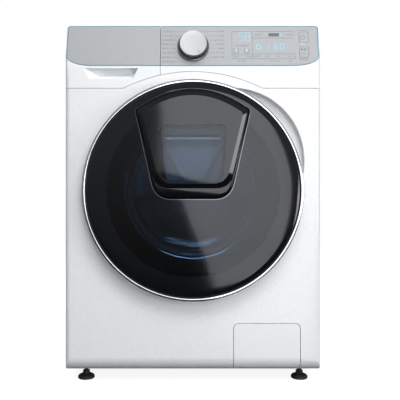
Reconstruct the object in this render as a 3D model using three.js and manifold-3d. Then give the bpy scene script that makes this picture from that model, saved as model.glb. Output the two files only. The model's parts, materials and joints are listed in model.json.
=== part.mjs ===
// Front load washing machine with a small add-laundry hatch in its door.
// Millimetres. X to the right, Y to the back (0 = front panel plane), Z up (0 = floor).
import * as THREE from 'three';
import { mergeVertices } from 'three/addons/utils/BufferGeometryUtils.js';
import Module from 'manifold-3d';

const wasm = await Module();
wasm.setup();

// ---- overall sizes -------------------------------------------------------
const width = 600;
const height = 845;
const depth = 560; // front panel plane to the rearmost point of the back
const fit = 0.4; // clearance between pieces that rest against each other
const seam = 1.2; // visible joint line between skins

// ---- cabinet -------------------------------------------------------------
const footHeight = 27; // floor to underside of the cabinet
const sheet = 2;
const wrapDepth = 40; // how far front panel and console reach back
const edgeRadius = 14; // front vertical edges
const rollRadius = 36; // lower front edge
const rearBulge = 10; // access cover and ports behind the rear panel
const flangeWidth = 16;
const worktopHeight = 30;
const worktopWall = 3;
const trayHeight = 24;
const accessRadius = 170;
const padRadius = 20;
const stemRadius = 5;
const footInset = 42; // foot centre from the side
const frontFootY = 48;
const rearFootInset = 55;

// ---- console -------------------------------------------------------------
const consoleHeight = 153;
const stripHeight = 53; // upright strip under the leaning face
const faceTilt = THREE.MathUtils.degToRad(11.5);
const consoleWall = 4;
const plateThickness = 1.8;
const trimWidth = 1.8;
const faceMargin = 5; // face to the side of the cabinet
const faceBottomMargin = 1.5;
const faceTopMargin = 3;
const faceLowCorner = [60, 22]; // half axes of the large lower corners
const faceTopCorner = 5;
const drawerWidth = 223.7; // drawer front, from the left side of the cabinet
const knobX = 1;
const knobUp = 47.5; // up the leaning face
const bezelRadius = 37.5;
const capRadius = 32;
const bezelHeight = 6;
const capHeight = 20;
const knobShaftRadius = 3;
const keySize = [21, 26];
const keyRadius = 3;
const keyInset = 38; // key centre from the side of the cabinet
const keyUps = { power_button: 72, start_button: 34 };
const pocketTop = [42, 172]; // finger pocket of the drawer front, from the left side of the cabinet
const pocketFoot = [57, 160];
const pocketHeight = 25.5;
const pocketDrop = 6; // below the leaning face
const pocketDepth = 24;
const pocketWall = 2.5;

// ---- washing unit --------------------------------------------------------
const tubSideGap = 47;
const tubRise = 13; // tub top above the console's lower edge
const tubFloorRoom = 180; // least height of the tub above the floor, for sump, pump and filter
const tubFrontY = 75;
const tubSplitY = 200;
const tubRearGap = 105; // tub back wall to the rear panel
const tubWall = 4;
const drumGap = 14;
const drumSheet = 2;
const drumFrontGap = 16; // tub front wall to drum front
const drumRearGap = 13;
const mouthRadius = 172;
const floatRoom = 14; // room round the unit for its movement
const shaftRadius = 20;
const innerShaftRadius = 12;
const bearingRadius = 40;
const paddleHeight = 42;
const pulsatorRadius = 185;
const statorRadii = [60, 110];
const rotorRing = 9;
const airGap = 3;

// ---- door and hatch ------------------------------------------------------
const doorSideGap = 45;
const doorOverTub = 2; // most that the door's radius exceeds the tub's
const ringWidth = 8;
const ringFrontY = -33;
const ringBackY = -12;
const doorBackY = -8;
const doorHoleMargin = 65; // ring outside to the opening in the front panel
const archGap = 24; // ring top to the top of the arched seam
const archSpread = 103.5; // arch radius beyond the door radius
const domeRise = 13;
const doorWall = 3;
const bowlRadius = 162;
const bowlDepth = 112;
const bowlWall = 4;
const hingeInset = 17;
const hingeY = -21;
const hingeHalf = 30;
const knuckleHalf = 14;
const knuckleRadius = 5;
const pinRadius = 2.6;
const hatchFrontY = -57;
const surroundFrontY = -52;
const hatchGap = 0.8;
const ductWall = 2.5;
const ductBackY = 62;

// ---- places worked out from the sizes above ------------------------------
const halfWidth = width / 2;
const seamZ = height - consoleHeight;
const faceZ = seamZ + stripHeight;
const faceLength = (height - faceTopMargin - faceZ) / Math.cos(faceTilt);
const rearY = depth - rearBulge;
const worktopZ = height - worktopHeight;
const splitX = -halfWidth + drawerWidth;
const tubRadius = Math.min(halfWidth - tubSideGap, (seamZ + tubRise - tubFloorRoom) / 2);
const axisZ = seamZ + tubRise - tubRadius;
const tubBackY = rearY - tubRearGap;
const drumRadius = tubRadius - tubWall - drumGap;
const drumFrontY = tubFrontY + tubWall + drumFrontGap;
const drumBackY = tubBackY - tubWall - drumRearGap;
const doorRadius = Math.min(halfWidth - doorSideGap, tubRadius + doorOverTub);
const holeRadius = doorRadius - doorHoleMargin;
const archRadius = doorRadius + archSpread;
const archCentreZ = axisZ + doorRadius + archGap - archRadius;
const hingeX = -(doorRadius - hingeInset);
const far = 4 * Math.max(width, height, depth); // longer than anything it cuts
const round = 36; // sides of every large round piece, so that neighbours match
const small = 12; // sides of small round pieces

// ---- solids --------------------------------------------------------------
function signedVolume(position, index) {
  const a = new THREE.Vector3();
  const b = new THREE.Vector3();
  const c = new THREE.Vector3();
  let sum = 0;
  for (let i = 0; i < index.length; i += 3) {
    a.fromBufferAttribute(position, index[i]);
    b.fromBufferAttribute(position, index[i + 1]);
    c.fromBufferAttribute(position, index[i + 2]);
    sum += a.dot(b.cross(c));
  }
  return sum;
}

// A closed three.js geometry as a solid with its faces pointing out.
function solid(geometry) {
  geometry.deleteAttribute('normal');
  geometry.deleteAttribute('uv');
  const merged = mergeVertices(geometry, 1e-4);
  const kept = [];
  const index = merged.index.array;
  for (let i = 0; i < index.length; i += 3) {
    const [a, b, c] = [index[i], index[i + 1], index[i + 2]];
    if (a !== b && b !== c && a !== c) kept.push(a, b, c);
  }
  if (signedVolume(merged.attributes.position, kept) < 0) kept.reverse();
  return new wasm.Manifold(new wasm.Mesh({
    numProp: 3,
    vertProperties: Float32Array.from(merged.attributes.position.array),
    triVerts: Uint32Array.from(kept),
  }));
}

function box(x0, x1, y0, y1, z0, z1) {
  const geometry = new THREE.BoxGeometry(x1 - x0, y1 - y0, z1 - z0);
  geometry.translate((x0 + x1) / 2, (y0 + y1) / 2, (z0 + z1) / 2);
  return solid(geometry);
}

// An outline of [u, v] points, or a Shape, pushed along one axis from a to b.
const axisMaps = {
  x: new THREE.Matrix4().set(0, 0, 1, 0, 1, 0, 0, 0, 0, 1, 0, 0, 0, 0, 0, 1),
  y: new THREE.Matrix4().set(1, 0, 0, 0, 0, 0, 1, 0, 0, 1, 0, 0, 0, 0, 0, 1),
  z: new THREE.Matrix4(),
};
function prism(axis, outline, a, b, options = {}) {
  const shape = Array.isArray(outline) ? shapeOf(outline) : outline;
  const geometry = new THREE.ExtrudeGeometry(shape, {
    depth: b - a, bevelEnabled: false, curveSegments: 8, ...options,
  });
  geometry.translate(0, 0, a);
  geometry.applyMatrix4(axisMaps[axis]);
  return solid(geometry);
}

function shapeOf(points) {
  return new THREE.Shape(points.map(([u, v]) => new THREE.Vector2(u, v)));
}

// A closed profile of [radius, y] points spun about the Y axis.
function spun(profile, segments = round) {
  const points = [...profile, profile[0]].map(([r, y]) => new THREE.Vector2(r, y));
  return solid(new THREE.LatheGeometry(points, segments));
}

function disc(radius, y0, y1, segments = round) {
  const geometry = new THREE.CylinderGeometry(radius, radius, y1 - y0, segments);
  geometry.translate(0, (y0 + y1) / 2, 0);
  return solid(geometry);
}

function ring(inner, outer, y0, y1, segments = round) {
  return spun([[inner, y0], [outer, y0], [outer, y1], [inner, y1]], segments);
}

function post(radius, z0, z1, segments = small) {
  const geometry = new THREE.CylinderGeometry(radius, radius, z1 - z0, segments);
  geometry.rotateX(Math.PI / 2);
  geometry.translate(0, 0, (z0 + z1) / 2);
  return solid(geometry);
}

// A round bar along a smooth curve through the points.
function bar(points, radius, sides, steps) {
  const path = new THREE.CatmullRomCurve3(points.map((p) => new THREE.Vector3(...p)));
  const section = new THREE.Shape();
  for (let i = 0; i <= sides; i += 1) {
    const angle = (i / sides) * 2 * Math.PI;
    const place = [radius * Math.cos(angle), radius * Math.sin(angle)];
    if (i === 0) section.moveTo(...place);
    else section.lineTo(...place);
  }
  return solid(new THREE.ExtrudeGeometry(section, { steps, bevelEnabled: false, extrudePath: path }));
}

function move(piece, x, y, z) {
  return piece.translate([x, y, z]);
}

function turn(piece, x, y, z) {
  return piece.rotate([x, y, z]);
}

function union(...pieces) {
  return pieces.reduce((whole, piece) => whole.add(piece));
}

// ---- scene graph ---------------------------------------------------------
const finishes = {
  white: [0xf2f3f4, 0.35, 0],
  silver: [0xb4b6b9, 0.35, 0.6],
  chrome: [0xd4d6d8, 0.12, 1],
  steel: [0xaeb2b6, 0.3, 0.9],
  cast: [0x8d9093, 0.55, 0.6],
  black: [0x17181a, 0.5, 0],
  dark: [0x14191e, 0.08, 0.1],
  clear: [0xc9d6df, 0.05, 0],
  grey: [0x8a8e92, 0.6, 0],
  pale: [0xd9dcde, 0.55, 0],
  rubber: [0x6d7175, 0.8, 0],
  concrete: [0xa9a79f, 0.9, 0],
  copper: [0xb87333, 0.4, 0.8],
  green: [0x2f6b45, 0.6, 0],
};

function addNode(group, name, piece, finish) {
  const { vertProperties, triVerts, numProp } = piece.getMesh();
  const geometry = new THREE.BufferGeometry();
  const position = new Float32Array((vertProperties.length / numProp) * 3);
  for (let i = 0; i < position.length / 3; i += 1) {
    for (let k = 0; k < 3; k += 1) position[3 * i + k] = vertProperties[numProp * i + k];
  }
  geometry.setAttribute('position', new THREE.BufferAttribute(position, 3));
  geometry.setIndex(Array.from(triVerts));
  const [color, roughness, metalness] = finishes[finish];
  const mesh = new THREE.Mesh(geometry, new THREE.MeshStandardMaterial({ color, roughness, metalness }));
  mesh.name = name;
  group.add(mesh);
  return mesh;
}

function addGroup(parent, x, y, z) {
  const group = new THREE.Group();
  group.position.set(x, y, z);
  parent.add(group);
  return group;
}

const machine = new THREE.Group();
machine.position.y = -(hatchFrontY + depth) / 2; // centres the whole depth on the origin
const unit = addGroup(machine, 0, 0, axisZ); // Y is the drum's axis
const door = addGroup(machine, 0, 0, axisZ); // Y is the porthole's axis
const face = addGroup(machine, 0, 0, faceZ); // Z climbs the leaning face
face.rotation.x = -faceTilt;

// ---- front skins ---------------------------------------------------------
// Side profile of the whole front, [y, z], moved in by the wall.
function frontProfile(wall) {
  const shape = new THREE.Shape();
  const bottom = footHeight;
  const lean = Math.tan(faceTilt);
  const faceShift = wall / Math.cos(faceTilt);
  const kneeZ = faceZ + (wall - faceShift) / lean;
  const topZ = height - wall;
  const topCorner = 4;
  const topY = (topZ - faceZ) * lean + faceShift;
  shape.moveTo(far, bottom + wall);
  shape.lineTo(rollRadius, bottom + wall);
  shape.absarc(rollRadius, bottom + rollRadius, rollRadius - wall, -Math.PI / 2, -Math.PI, true);
  shape.lineTo(wall, kneeZ);
  shape.lineTo(topY - topCorner * lean, topZ - topCorner);
  shape.quadraticCurveTo(topY, topZ, topY + topCorner, topZ);
  shape.lineTo(far, topZ);
  return shape;
}

// Plan of the whole front, [x, y], moved in by the wall.
function frontPlan(wall) {
  const shape = new THREE.Shape();
  const side = halfWidth - wall;
  const radius = edgeRadius - wall;
  shape.moveTo(side, far);
  shape.lineTo(-side, far);
  shape.lineTo(-side, edgeRadius);
  shape.absarc(-halfWidth + edgeRadius, edgeRadius, radius, Math.PI, 1.5 * Math.PI, false);
  shape.lineTo(halfWidth - edgeRadius, wall);
  shape.absarc(halfWidth - edgeRadius, edgeRadius, radius, 1.5 * Math.PI, 2 * Math.PI, false);
  return shape;
}

function frontBlock(wall, backY) {
  const across = prism('x', frontProfile(wall), -far, far, { curveSegments: 6 });
  const upright = prism('z', frontPlan(wall), -far, far, { curveSegments: 4 });
  return across.intersect(upright).intersect(box(-far, far, -far, backY, -far, far));
}

// Everything under the arched seam, moved by an amount (up is positive).
function underSeam(shift) {
  const arch = move(disc(archRadius + shift, -far, far, round), 0, 0, archCentreZ);
  return union(arch, box(-far, far, -far, far, -far, seamZ + shift));
}

// A skin over a region, closed round its edges and open at the back.
function frontSkin(wall, keep) {
  return keep(frontBlock(0, wrapDepth), 0).subtract(keep(frontBlock(wall, far), wall));
}

function belowSeam(block, inset) {
  return block.intersect(underSeam(-seam / 2 - inset));
}

function aboveSeam(block, inset, x0, x1) {
  const span = box(x0 + inset, x1 - inset, -far, far, -far, far);
  return block.intersect(span).subtract(underSeam(seam / 2 + inset));
}

// ---- openings of the front panel -----------------------------------------
const scoopAngle = THREE.MathUtils.degToRad(38);
const scoopRadius = doorRadius * (2 / 3);
const scoopReach = 31; // scoop beyond the ring
const scoopInner = doorRadius - 27;
const scoopDepth = 22;
const dishRadius = holeRadius + 28;
const dishDepth = 10;
const dishFlat = holeRadius + 20;
const hookX = holeRadius + 13.5;
const hookSlot = [hookX - 9.5, hookX + 8.5];
const hookSlotHalf = 10;
const flapSpan = [96, 251.5];
const flapHeights = [33, 141];
const flapCorner = 12;

function scoopArea(grow, y0, y1) {
  const centre = doorRadius + scoopReach - scoopRadius;
  const scoop = disc(scoopRadius + grow, y0, y1, round);
  const placed = move(scoop, centre * Math.cos(scoopAngle), 0, centre * Math.sin(scoopAngle));
  const beside = box(0, far, -far, far, 0, far);
  return placed.subtract(disc(scoopInner - grow, -far, far, round)).intersect(turn(beside, 0, 7, 0));
}

function roundedOutline(x0, x1, z0, z1, radius) {
  const shape = new THREE.Shape();
  shape.moveTo(x0, z0);
  shape.lineTo(x1, z0);
  shape.lineTo(x1, z1 - radius);
  shape.absarc(x1 - radius, z1 - radius, radius, 0, Math.PI / 2, false);
  shape.lineTo(x0 + radius, z1);
  shape.absarc(x0 + radius, z1 - radius, radius, Math.PI / 2, Math.PI, false);
  return shape;
}

function flapArea(grow) {
  const outline = roundedOutline(
    flapSpan[0] - grow, flapSpan[1] + grow, flapHeights[0] - grow, flapHeights[1] + grow, flapCorner + grow,
  );
  return prism('y', outline, -far, wrapDepth - 4, { curveSegments: 4 });
}

function frontPanel() {
  const skin = frontSkin(sheet, belowSeam);
  const dish = spun([
    [dishRadius - 2, 0], [dishFlat, dishDepth], [holeRadius, dishDepth], [holeRadius, dishDepth + sheet],
    [dishFlat + 1, dishDepth + sheet], [dishRadius + 1, sheet], [dishRadius + 1, 0],
  ], round);
  const slot = box(...hookSlot, -far, far, -hookSlotHalf, hookSlotHalf);
  const pocket = scoopArea(sheet, 0, scoopDepth + sheet).subtract(scoopArea(0, -1, scoopDepth));
  const panel = skin
    .subtract(move(disc(dishRadius, -far, far, round), 0, 0, axisZ))
    .subtract(move(scoopArea(0, -1, wrapDepth), 0, 0, axisZ))
    .add(move(dish, 0, 0, axisZ))
    .add(move(pocket, 0, 0, axisZ))
    .subtract(move(slot, 0, 0, axisZ));
  return panel.subtract(flapArea(seam));
}
addNode(machine, 'front_panel', frontPanel(), 'white');

function serviceFlap() {
  return frontSkin(sheet, belowSeam).intersect(flapArea(0));
}
addNode(machine, 'service_flap', serviceFlap(), 'white');

// ---- cabinet shell -------------------------------------------------------
const sideFrontY = wrapDepth + fit;
const sideTopZ = worktopZ - fit;
const sideInX = halfWidth - sheet;
const springX = halfWidth - 50;
const springY = 300;
const springTopZ = worktopZ - 28;
const springLowZ = axisZ + tubRadius * 0.74;
const hangerThickness = 3;
const damperFoot = { x: halfWidth - 62, y: springY, z: footHeight + 34 };
const damperHead = { x: halfWidth - 112, y: springY, z: axisZ - tubRadius * 0.74 };

// One side: a sheet with flanges turned in at front and back, and the spring hanger.
function sidePanel(sign) {
  const back = rearY - sheet - fit;
  const inner = sideInX - flangeWidth;
  const panel = union(
    box(sideInX, halfWidth, sideFrontY, back, footHeight, sideTopZ),
    box(inner, sideInX + 1, sideFrontY, sideFrontY + sheet, footHeight, sideTopZ),
    box(inner, sideInX + 1, back - sheet, back, footHeight, sideTopZ),
    box(springX - 12, sideInX + 1, springY - 14, springY + 14, springTopZ, springTopZ + hangerThickness),
  );
  return sign > 0 ? panel : panel.mirror([1, 0, 0]);
}
addNode(machine, 'side_panel_right', sidePanel(1), 'white');
addNode(machine, 'side_panel_left', sidePanel(-1), 'white');

const inletX = -200;
const inletZ = worktopZ - 45;
const inletRadius = 13;
const glandX = 240;
const glandZ = footHeight + 90;
const glandRadius = 11;
const drainX = 190;
const drainZ = footHeight + 60;
const drainRadius = 11;

function rearPanel() {
  const hole = (radius, x, z) => move(disc(radius, -far, far, small), x, 0, z);
  return box(-halfWidth, halfWidth, rearY - sheet, rearY, footHeight, sideTopZ)
    .subtract(move(disc(accessRadius, -far, far, round), 0, 0, axisZ))
    .subtract(hole(inletRadius + 1, inletX, inletZ))
    .subtract(hole(glandRadius + fit, glandX, glandZ))
    .subtract(hole(drainRadius + 1, drainX, drainZ));
}
addNode(machine, 'rear_panel', rearPanel(), 'white');

// The round cover screwed over the access hole, pressed outwards in the middle.
function accessCover() {
  const rim = accessRadius + 14;
  const y = rearY + fit;
  const rise = depth - y;
  return spun([
    [0, y + rise - sheet], [accessRadius - 24, y + rise - sheet], [accessRadius - 10, y], [rim, y],
    [rim, y + sheet], [accessRadius - 9, y + sheet], [accessRadius - 22, y + rise], [0, y + rise],
  ], round);
}
addNode(machine, 'rear_access_cover', move(accessCover(), 0, 0, axisZ), 'steel');

function worktop() {
  const [x, y0, y1] = [halfWidth, wrapDepth + fit, rearY];
  const inner = box(-x + worktopWall, x - worktopWall, y0 + worktopWall, y1 - worktopWall,
    worktopZ - 1, height - worktopWall);
  return box(-x, x, y0, y1, worktopZ, height).subtract(inner);
}
addNode(machine, 'worktop', worktop(), 'white');

const footPlaces = {
  foot_front_left: [-halfWidth + footInset, frontFootY],
  foot_front_right: [halfWidth - footInset, frontFootY],
  foot_rear_left: [-halfWidth + footInset, rearY - rearFootInset],
  foot_rear_right: [halfWidth - footInset, rearY - rearFootInset],
};

// The floor tray between the side panels, with a boss for each foot.
function baseTray() {
  const x = sideInX - flangeWidth - fit;
  const wall = 3;
  const [y0, y1] = [wrapDepth + fit, rearY - sheet - fit];
  let tray = box(-x, x, y0, y1, footHeight, footHeight + trayHeight)
    .subtract(box(-x + wall, x - wall, y0 + wall, y1 - wall, footHeight + wall, far));
  for (const [footX, footY] of Object.values(footPlaces)) {
    tray = tray
      .add(move(post(stemRadius + 7, footHeight, footHeight + trayHeight, 12), footX, footY, 0)
        .intersect(box(-far, far, y0, y1, -far, far)))
      .subtract(move(post(stemRadius + fit, -far, far, 16), footX, footY, 0));
  }
  return tray;
}
addNode(machine, 'base_tray', baseTray(), 'black');

// A levelling foot: hexagonal nut, round pad and threaded stem.
function levellingFoot() {
  const nutZ = footHeight - 5;
  return union(
    post(padRadius, 0, 13, small),
    post(9, 12, nutZ, 6),
    post(stemRadius, 12, footHeight + trayHeight - 2, 16),
  );
}
for (const [name, [x, y]] of Object.entries(footPlaces)) {
  addNode(machine, name, levellingFoot(), 'black').position.set(x, y, 0);
}

// ---- console and drawer --------------------------------------------------
// Outline of the leaning face between two sides, [x, up]; round decides which ends are free.
function faceOutline(x0, x1, freeEnd, grow) {
  const [low, high] = [faceBottomMargin - grow, faceLength + grow];
  const [cornerWide, cornerTall] = [faceLowCorner[0] + grow, faceLowCorner[1] + grow];
  const corner = faceTopCorner + grow;
  const shape = new THREE.Shape();
  if (freeEnd > 0) {
    shape.moveTo(x0, low);
    shape.lineTo(x1 + grow - cornerWide, low);
    shape.absellipse(x1 + grow - cornerWide, low + cornerTall, cornerWide, cornerTall, -Math.PI / 2, 0, false);
    shape.absarc(x1 + grow - corner, high - corner, corner, 0, Math.PI / 2, false);
    shape.lineTo(x0, high);
  } else {
    shape.moveTo(x1, low);
    shape.lineTo(x1, high);
    shape.absarc(x0 - grow + corner, high - corner, corner, Math.PI / 2, Math.PI, false);
    shape.absellipse(x0 - grow + cornerWide, low + cornerTall, cornerWide, cornerTall, Math.PI, 1.5 * Math.PI, false);
  }
  return shape;
}

const trimGap = 0.35;
const recessDepth = plateThickness + fit;
const faceSpans = {
  drawer: [-halfWidth + faceMargin, splitX - seam / 2 - 0.2, -1],
  console: [splitX + seam / 2 + 0.2, halfWidth - faceMargin, 1],
};

function facePrism(side, grow, y0, y1) {
  const [x0, x1, freeEnd] = faceSpans[side];
  return prism('y', faceOutline(x0, x1, freeEnd, grow), y0, y1, { curveSegments: 8 });
}

// Pieces made in the leaning frame, brought into the cabinet's frame for cutting.
function leaned(piece) {
  return move(turn(piece, -THREE.MathUtils.radToDeg(faceTilt), 0, 0), 0, 0, faceZ);
}

function faceRecess(side) {
  const [x0, x1, freeEnd] = faceSpans[side];
  const grow = trimGap * 2 + trimWidth;
  const outline = faceOutline(freeEnd > 0 ? x0 - 5 : x0, freeEnd > 0 ? x1 : x1 + 5, freeEnd, grow);
  return leaned(prism('y', outline, -far / 8, recessDepth, { curveSegments: 8 }));
}

function consoleBody() {
  const keep = (block, inset) => aboveSeam(block, inset, splitX + seam / 2, far);
  const shaft = leaned(move(disc(knobShaftRadius + 1, -far, far, small), knobX, 0, knobUp));
  let body = frontSkin(consoleWall, keep).subtract(faceRecess('console')).subtract(shaft);
  for (const up of Object.values(keyUps)) body = body.subtract(leaned(keyPrism(up, fit + 0.2, -far / 8, far / 8)));
  return body;
}

function keyPrism(up, grow, y0, y1) {
  const [x, z] = [keySize[0] / 2 + grow, keySize[1] / 2 + grow];
  const r = keyRadius + grow;
  const shape = new THREE.Shape();
  shape.moveTo(-x + r, -z);
  shape.absarc(x - r, -z + r, r, -Math.PI / 2, 0, false);
  shape.absarc(x - r, z - r, r, 0, Math.PI / 2, false);
  shape.absarc(-x + r, z - r, r, Math.PI / 2, Math.PI, false);
  shape.absarc(-x + r, -z + r, r, Math.PI, 1.5 * Math.PI, false);
  return move(prism('y', shape, y0, y1, { curveSegments: 3 }), halfWidth - keyInset, 0, up);
}
addNode(machine, 'console_body', consoleBody(), 'white');

function consoleFace() {
  let plate = facePrism('console', 0, 0, plateThickness)
    .subtract(move(disc(knobShaftRadius + 1, -far, far, small), knobX, 0, knobUp));
  for (const up of Object.values(keyUps)) plate = plate.subtract(keyPrism(up, fit, -far, far));
  return plate;
}
addNode(face, 'console_face', consoleFace(), 'silver');
addNode(face, 'drawer_face', facePrism('drawer', 0, 0, plateThickness), 'silver');

// The push keys stand flush and sink by their travel.
for (const [name, up] of Object.entries(keyUps)) {
  addNode(face, name, keyPrism(up, 0, -0.2, 9), 'silver');
}

const knob = addGroup(face, knobX, 0, knobUp);
addNode(knob, 'knob_bezel', ring(capRadius + 0.8, bezelRadius, -bezelHeight, -fit), 'chrome');
addNode(knob, 'knob_cap', union(
  disc(capRadius, -capHeight, -1),
  disc(knobShaftRadius, -2, 12, 16),
), 'steel');

// ---- drawer --------------------------------------------------------------
const trayMargin = 12; // tray to the ends of the drawer front
const trayTall = 54;
const trayBackY = 255;
const trayWall = 2.5;
const trayBays = [0, 0.36, 0.62, 1]; // shares of the tray's width
const housingWall = 3;
const housingGap = 2;
const traySide = [
  -(sideInX - flangeWidth - housingWall - housingGap - 1), splitX - trayMargin,
];
const archAtTray = archCentreZ + Math.sqrt(archRadius ** 2 - traySide[1] ** 2);
const trayZ = Math.ceil(archAtTray) + 2; // slides out over the front panel's arch

function pocketArea(grow, y0, y1) {
  const top = faceZ - pocketDrop + grow;
  const foot = faceZ - pocketDrop - pocketHeight - grow;
  const outline = [
    [pocketFoot[0] - halfWidth - grow, foot], [pocketFoot[1] - halfWidth + grow, foot],
    [pocketTop[1] - halfWidth + grow, top], [pocketTop[0] - halfWidth - grow, top],
  ];
  return prism('y', outline, y0, y1);
}

function drawerFront() {
  const keep = (block, inset) => aboveSeam(block, inset, -far, splitX - seam / 2);
  return frontSkin(consoleWall, keep)
    .subtract(faceRecess('drawer'))
    .subtract(pocketArea(0, -far, wrapDepth))
    .add(pocketArea(pocketWall, 0, pocketDepth + pocketWall).subtract(pocketArea(0, -1, pocketDepth)));
}
addNode(machine, 'drawer_front', drawerFront(), 'white');

function drawerTray() {
  const [x0, x1] = traySide;
  const y0 = wrapDepth + fit;
  let tray = box(x0, x1, y0, trayBackY, trayZ, trayZ + trayTall);
  for (let i = 0; i < trayBays.length - 1; i += 1) {
    const left = x0 + (x1 - x0 - trayWall) * trayBays[i] + trayWall;
    const right = x0 + (x1 - x0 - trayWall) * trayBays[i + 1];
    tray = tray.subtract(box(left, right, y0 + trayWall, trayBackY - trayWall, trayZ + trayWall, far));
  }
  return tray;
}
addNode(machine, 'drawer_tray', drawerTray(), 'pale');

function dispenserHousing() {
  const [x0, x1] = [traySide[0] - housingGap, traySide[1] + housingGap];
  const [z0, z1] = [trayZ - housingGap, worktopZ - 3];
  const [y0, y1] = [wrapDepth + 3, trayBackY + 8];
  const w = housingWall;
  return box(x0 - w, x1 + w, y0, y1 + w, z0 - w + 1, z1)
    .subtract(box(x0, x1, y0 - 1, y1, z0, z1 - w));
}
addNode(machine, 'dispenser_housing', dispenserHousing(), 'pale');

const boardSpan = [splitX + 20, halfWidth - 45];
addNode(machine, 'control_board', box(...boardSpan, wrapDepth + 4, wrapDepth + 34, worktopZ - 72, worktopZ - 8), 'green');

// ---- tub -----------------------------------------------------------------
const sealRadius = holeRadius - 4;
const hubRadii = [bearingRadius + fit, bearingRadius + 9];
const hubY = [tubBackY - 9, tubBackY + 34];
const statorY = [tubBackY + 41, tubBackY + 61];
const sumpX = 88;
const sumpY = 150;
const sumpRadius = 20;
const fillerX = -120;
const fillerY = 170;
const fillerRadius = 18;
const lugThickness = 8;

function tubHeight(x, radius = tubRadius) {
  return Math.sqrt(radius * radius - x * x);
}

function tubFront() {
  const r = tubRadius;
  const w = tubWall;
  return union(
    spun([
      [sealRadius, tubFrontY], [r, tubFrontY], [r, tubSplitY - fit], [r - w, tubSplitY - fit],
      [r - w, tubFrontY + w], [sealRadius, tubFrontY + w],
    ], round),
    ring(r - 1, r + 7, tubSplitY - 8, tubSplitY - fit, round),
  ).subtract(sumpHole(0)).add(sumpStub()).subtract(sumpBore()).subtract(fillerBore());
}

const sumpDrop = -tubHeight(sumpX) - 22;
function sumpHole(grow) {
  return move(post(sumpRadius + grow, sumpDrop - 1, sumpDrop + 40, small), sumpX, sumpY, 0);
}
function sumpStub() {
  const stub = move(post(sumpRadius, sumpDrop, sumpDrop + 50, small), sumpX, sumpY, 0);
  return stub.subtract(disc(tubRadius - tubWall, -far, far, round));
}
function sumpBore() {
  return move(post(sumpRadius - 3, sumpDrop - 1, sumpDrop + 60, small), sumpX, sumpY, 0);
}
function fillerBore() {
  const top = tubHeight(fillerX);
  return move(post(fillerRadius - 3, top - 40, top + 20, small), fillerX, fillerY, 0);
}

function tubRear() {
  const r = tubRadius;
  const w = tubWall;
  let tub = union(
    spun([
      [hubRadii[0] + 1, tubBackY - w], [r - w, tubBackY - w], [r - w, tubSplitY], [r, tubSplitY],
      [r, tubBackY], [hubRadii[0], tubBackY],
    ], round),
    ring(r - 1, r + 7, tubSplitY, tubSplitY + 8, round),
    ring(...hubRadii, ...hubY, round),
  );
  for (let i = 0; i < 6; i += 1) {
    const boss = move(disc(8, tubBackY - 1, statorY[0] - fit, 8), (statorRadii[0] + statorRadii[1]) / 2, 0, 0);
    tub = tub.add(turn(boss, 0, i * 60 + 30, 0));
  }
  const springLug = box(tubHeight(springLowZ - axisZ) - 12, springX + 12, springY - 14, springY + 14,
    springLowZ - axisZ - lugThickness, springLowZ - axisZ);
  const head = damperHead.z - axisZ;
  const lugX = tubHeight(head + lugThickness);
  const damperLug = box(Math.min(lugX, damperHead.x) - 14, damperHead.x + 12, springY - 16, springY + 16,
    head + 9, head + 9 + lugThickness).subtract(disc(r - w / 2, -far, far, round));
  for (const sign of [1, -1]) {
    const lugs = springLug.subtract(disc(r - w / 2, -far, far, round)).add(damperLug);
    tub = tub.add(sign > 0 ? lugs : lugs.mirror([1, 0, 0]));
  }
  return tub;
}

addNode(unit, 'tub_front', tubFront(), 'grey');
addNode(unit, 'tub_rear', tubRear(), 'grey');

// The bellows between the front panel's opening and the tub's mouth, with its inner lip.
function doorSeal() {
  const [y0, y1] = [dishDepth + sheet + fit, tubFrontY - fit];
  const outer = sealRadius + 3;
  return spun([
    [mouthRadius, y0 + 8], [holeRadius - 6, y0], [outer, y0], [outer - 8, y0 + 22], [outer + 2, y0 + 34],
    [outer + 6, y1], [sealRadius - 5, y1], [sealRadius - 13, y0 + 24], [mouthRadius + 3, y0 + 12],
  ]);
}
addNode(unit, 'door_seal', doorSeal(), 'rubber');

// ---- weights, springs and dampers ----------------------------------------
function counterweightTop() {
  const top = worktopZ - floatRoom - 31 - axisZ;
  const left = Math.max(-60, traySide[1] + housingGap + housingWall + floatRoom); // clear of the dispenser
  return box(left, 160, 150, 380, tubHeight(160) - 40, top).subtract(disc(tubRadius + 8, -far, far, round));
}
addNode(unit, 'counterweight_top', counterweightTop(), 'concrete');

function counterweightFront() {
  const block = ring(sealRadius + 14, tubRadius - 8, tubFrontY - 50, tubFrontY - fit, round);
  const upper = box(-far, far, -far, far, -60, far);
  return block.subtract(upper);
}
addNode(unit, 'counterweight_front', counterweightFront(), 'concrete');

const springCoil = 10;
const springWire = 2.6;
const springTurns = 7;

// A tension spring hanging from its bracket to the lug on the tub.
function spring(sign) {
  const [z0, z1] = [springLowZ + fit, springTopZ - fit];
  const hook = 16;
  const points = [[0, 0, z0], [0, 0, z0 + hook / 2]];
  const stepsPerTurn = 6;
  const count = springTurns * stepsPerTurn;
  for (let i = 0; i <= count; i += 1) {
    const angle = (i / stepsPerTurn) * 2 * Math.PI;
    const z = z0 + hook + (z1 - z0 - 2 * hook) * (i / count);
    points.push([springCoil * Math.cos(angle), springCoil * Math.sin(angle), z]);
  }
  points.push([0, 0, z1 - hook / 2], [0, 0, z1]);
  return move(bar(points, springWire / 2, 4, 48), sign * springX, springY, 0);
}
addNode(machine, 'spring_left', spring(-1), 'steel');
addNode(machine, 'spring_right', spring(1), 'steel');

const damperOuter = 14;
const damperInner = 6;
const damperShare = 0.6; // share of the damper's length taken by its cylinder

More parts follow.
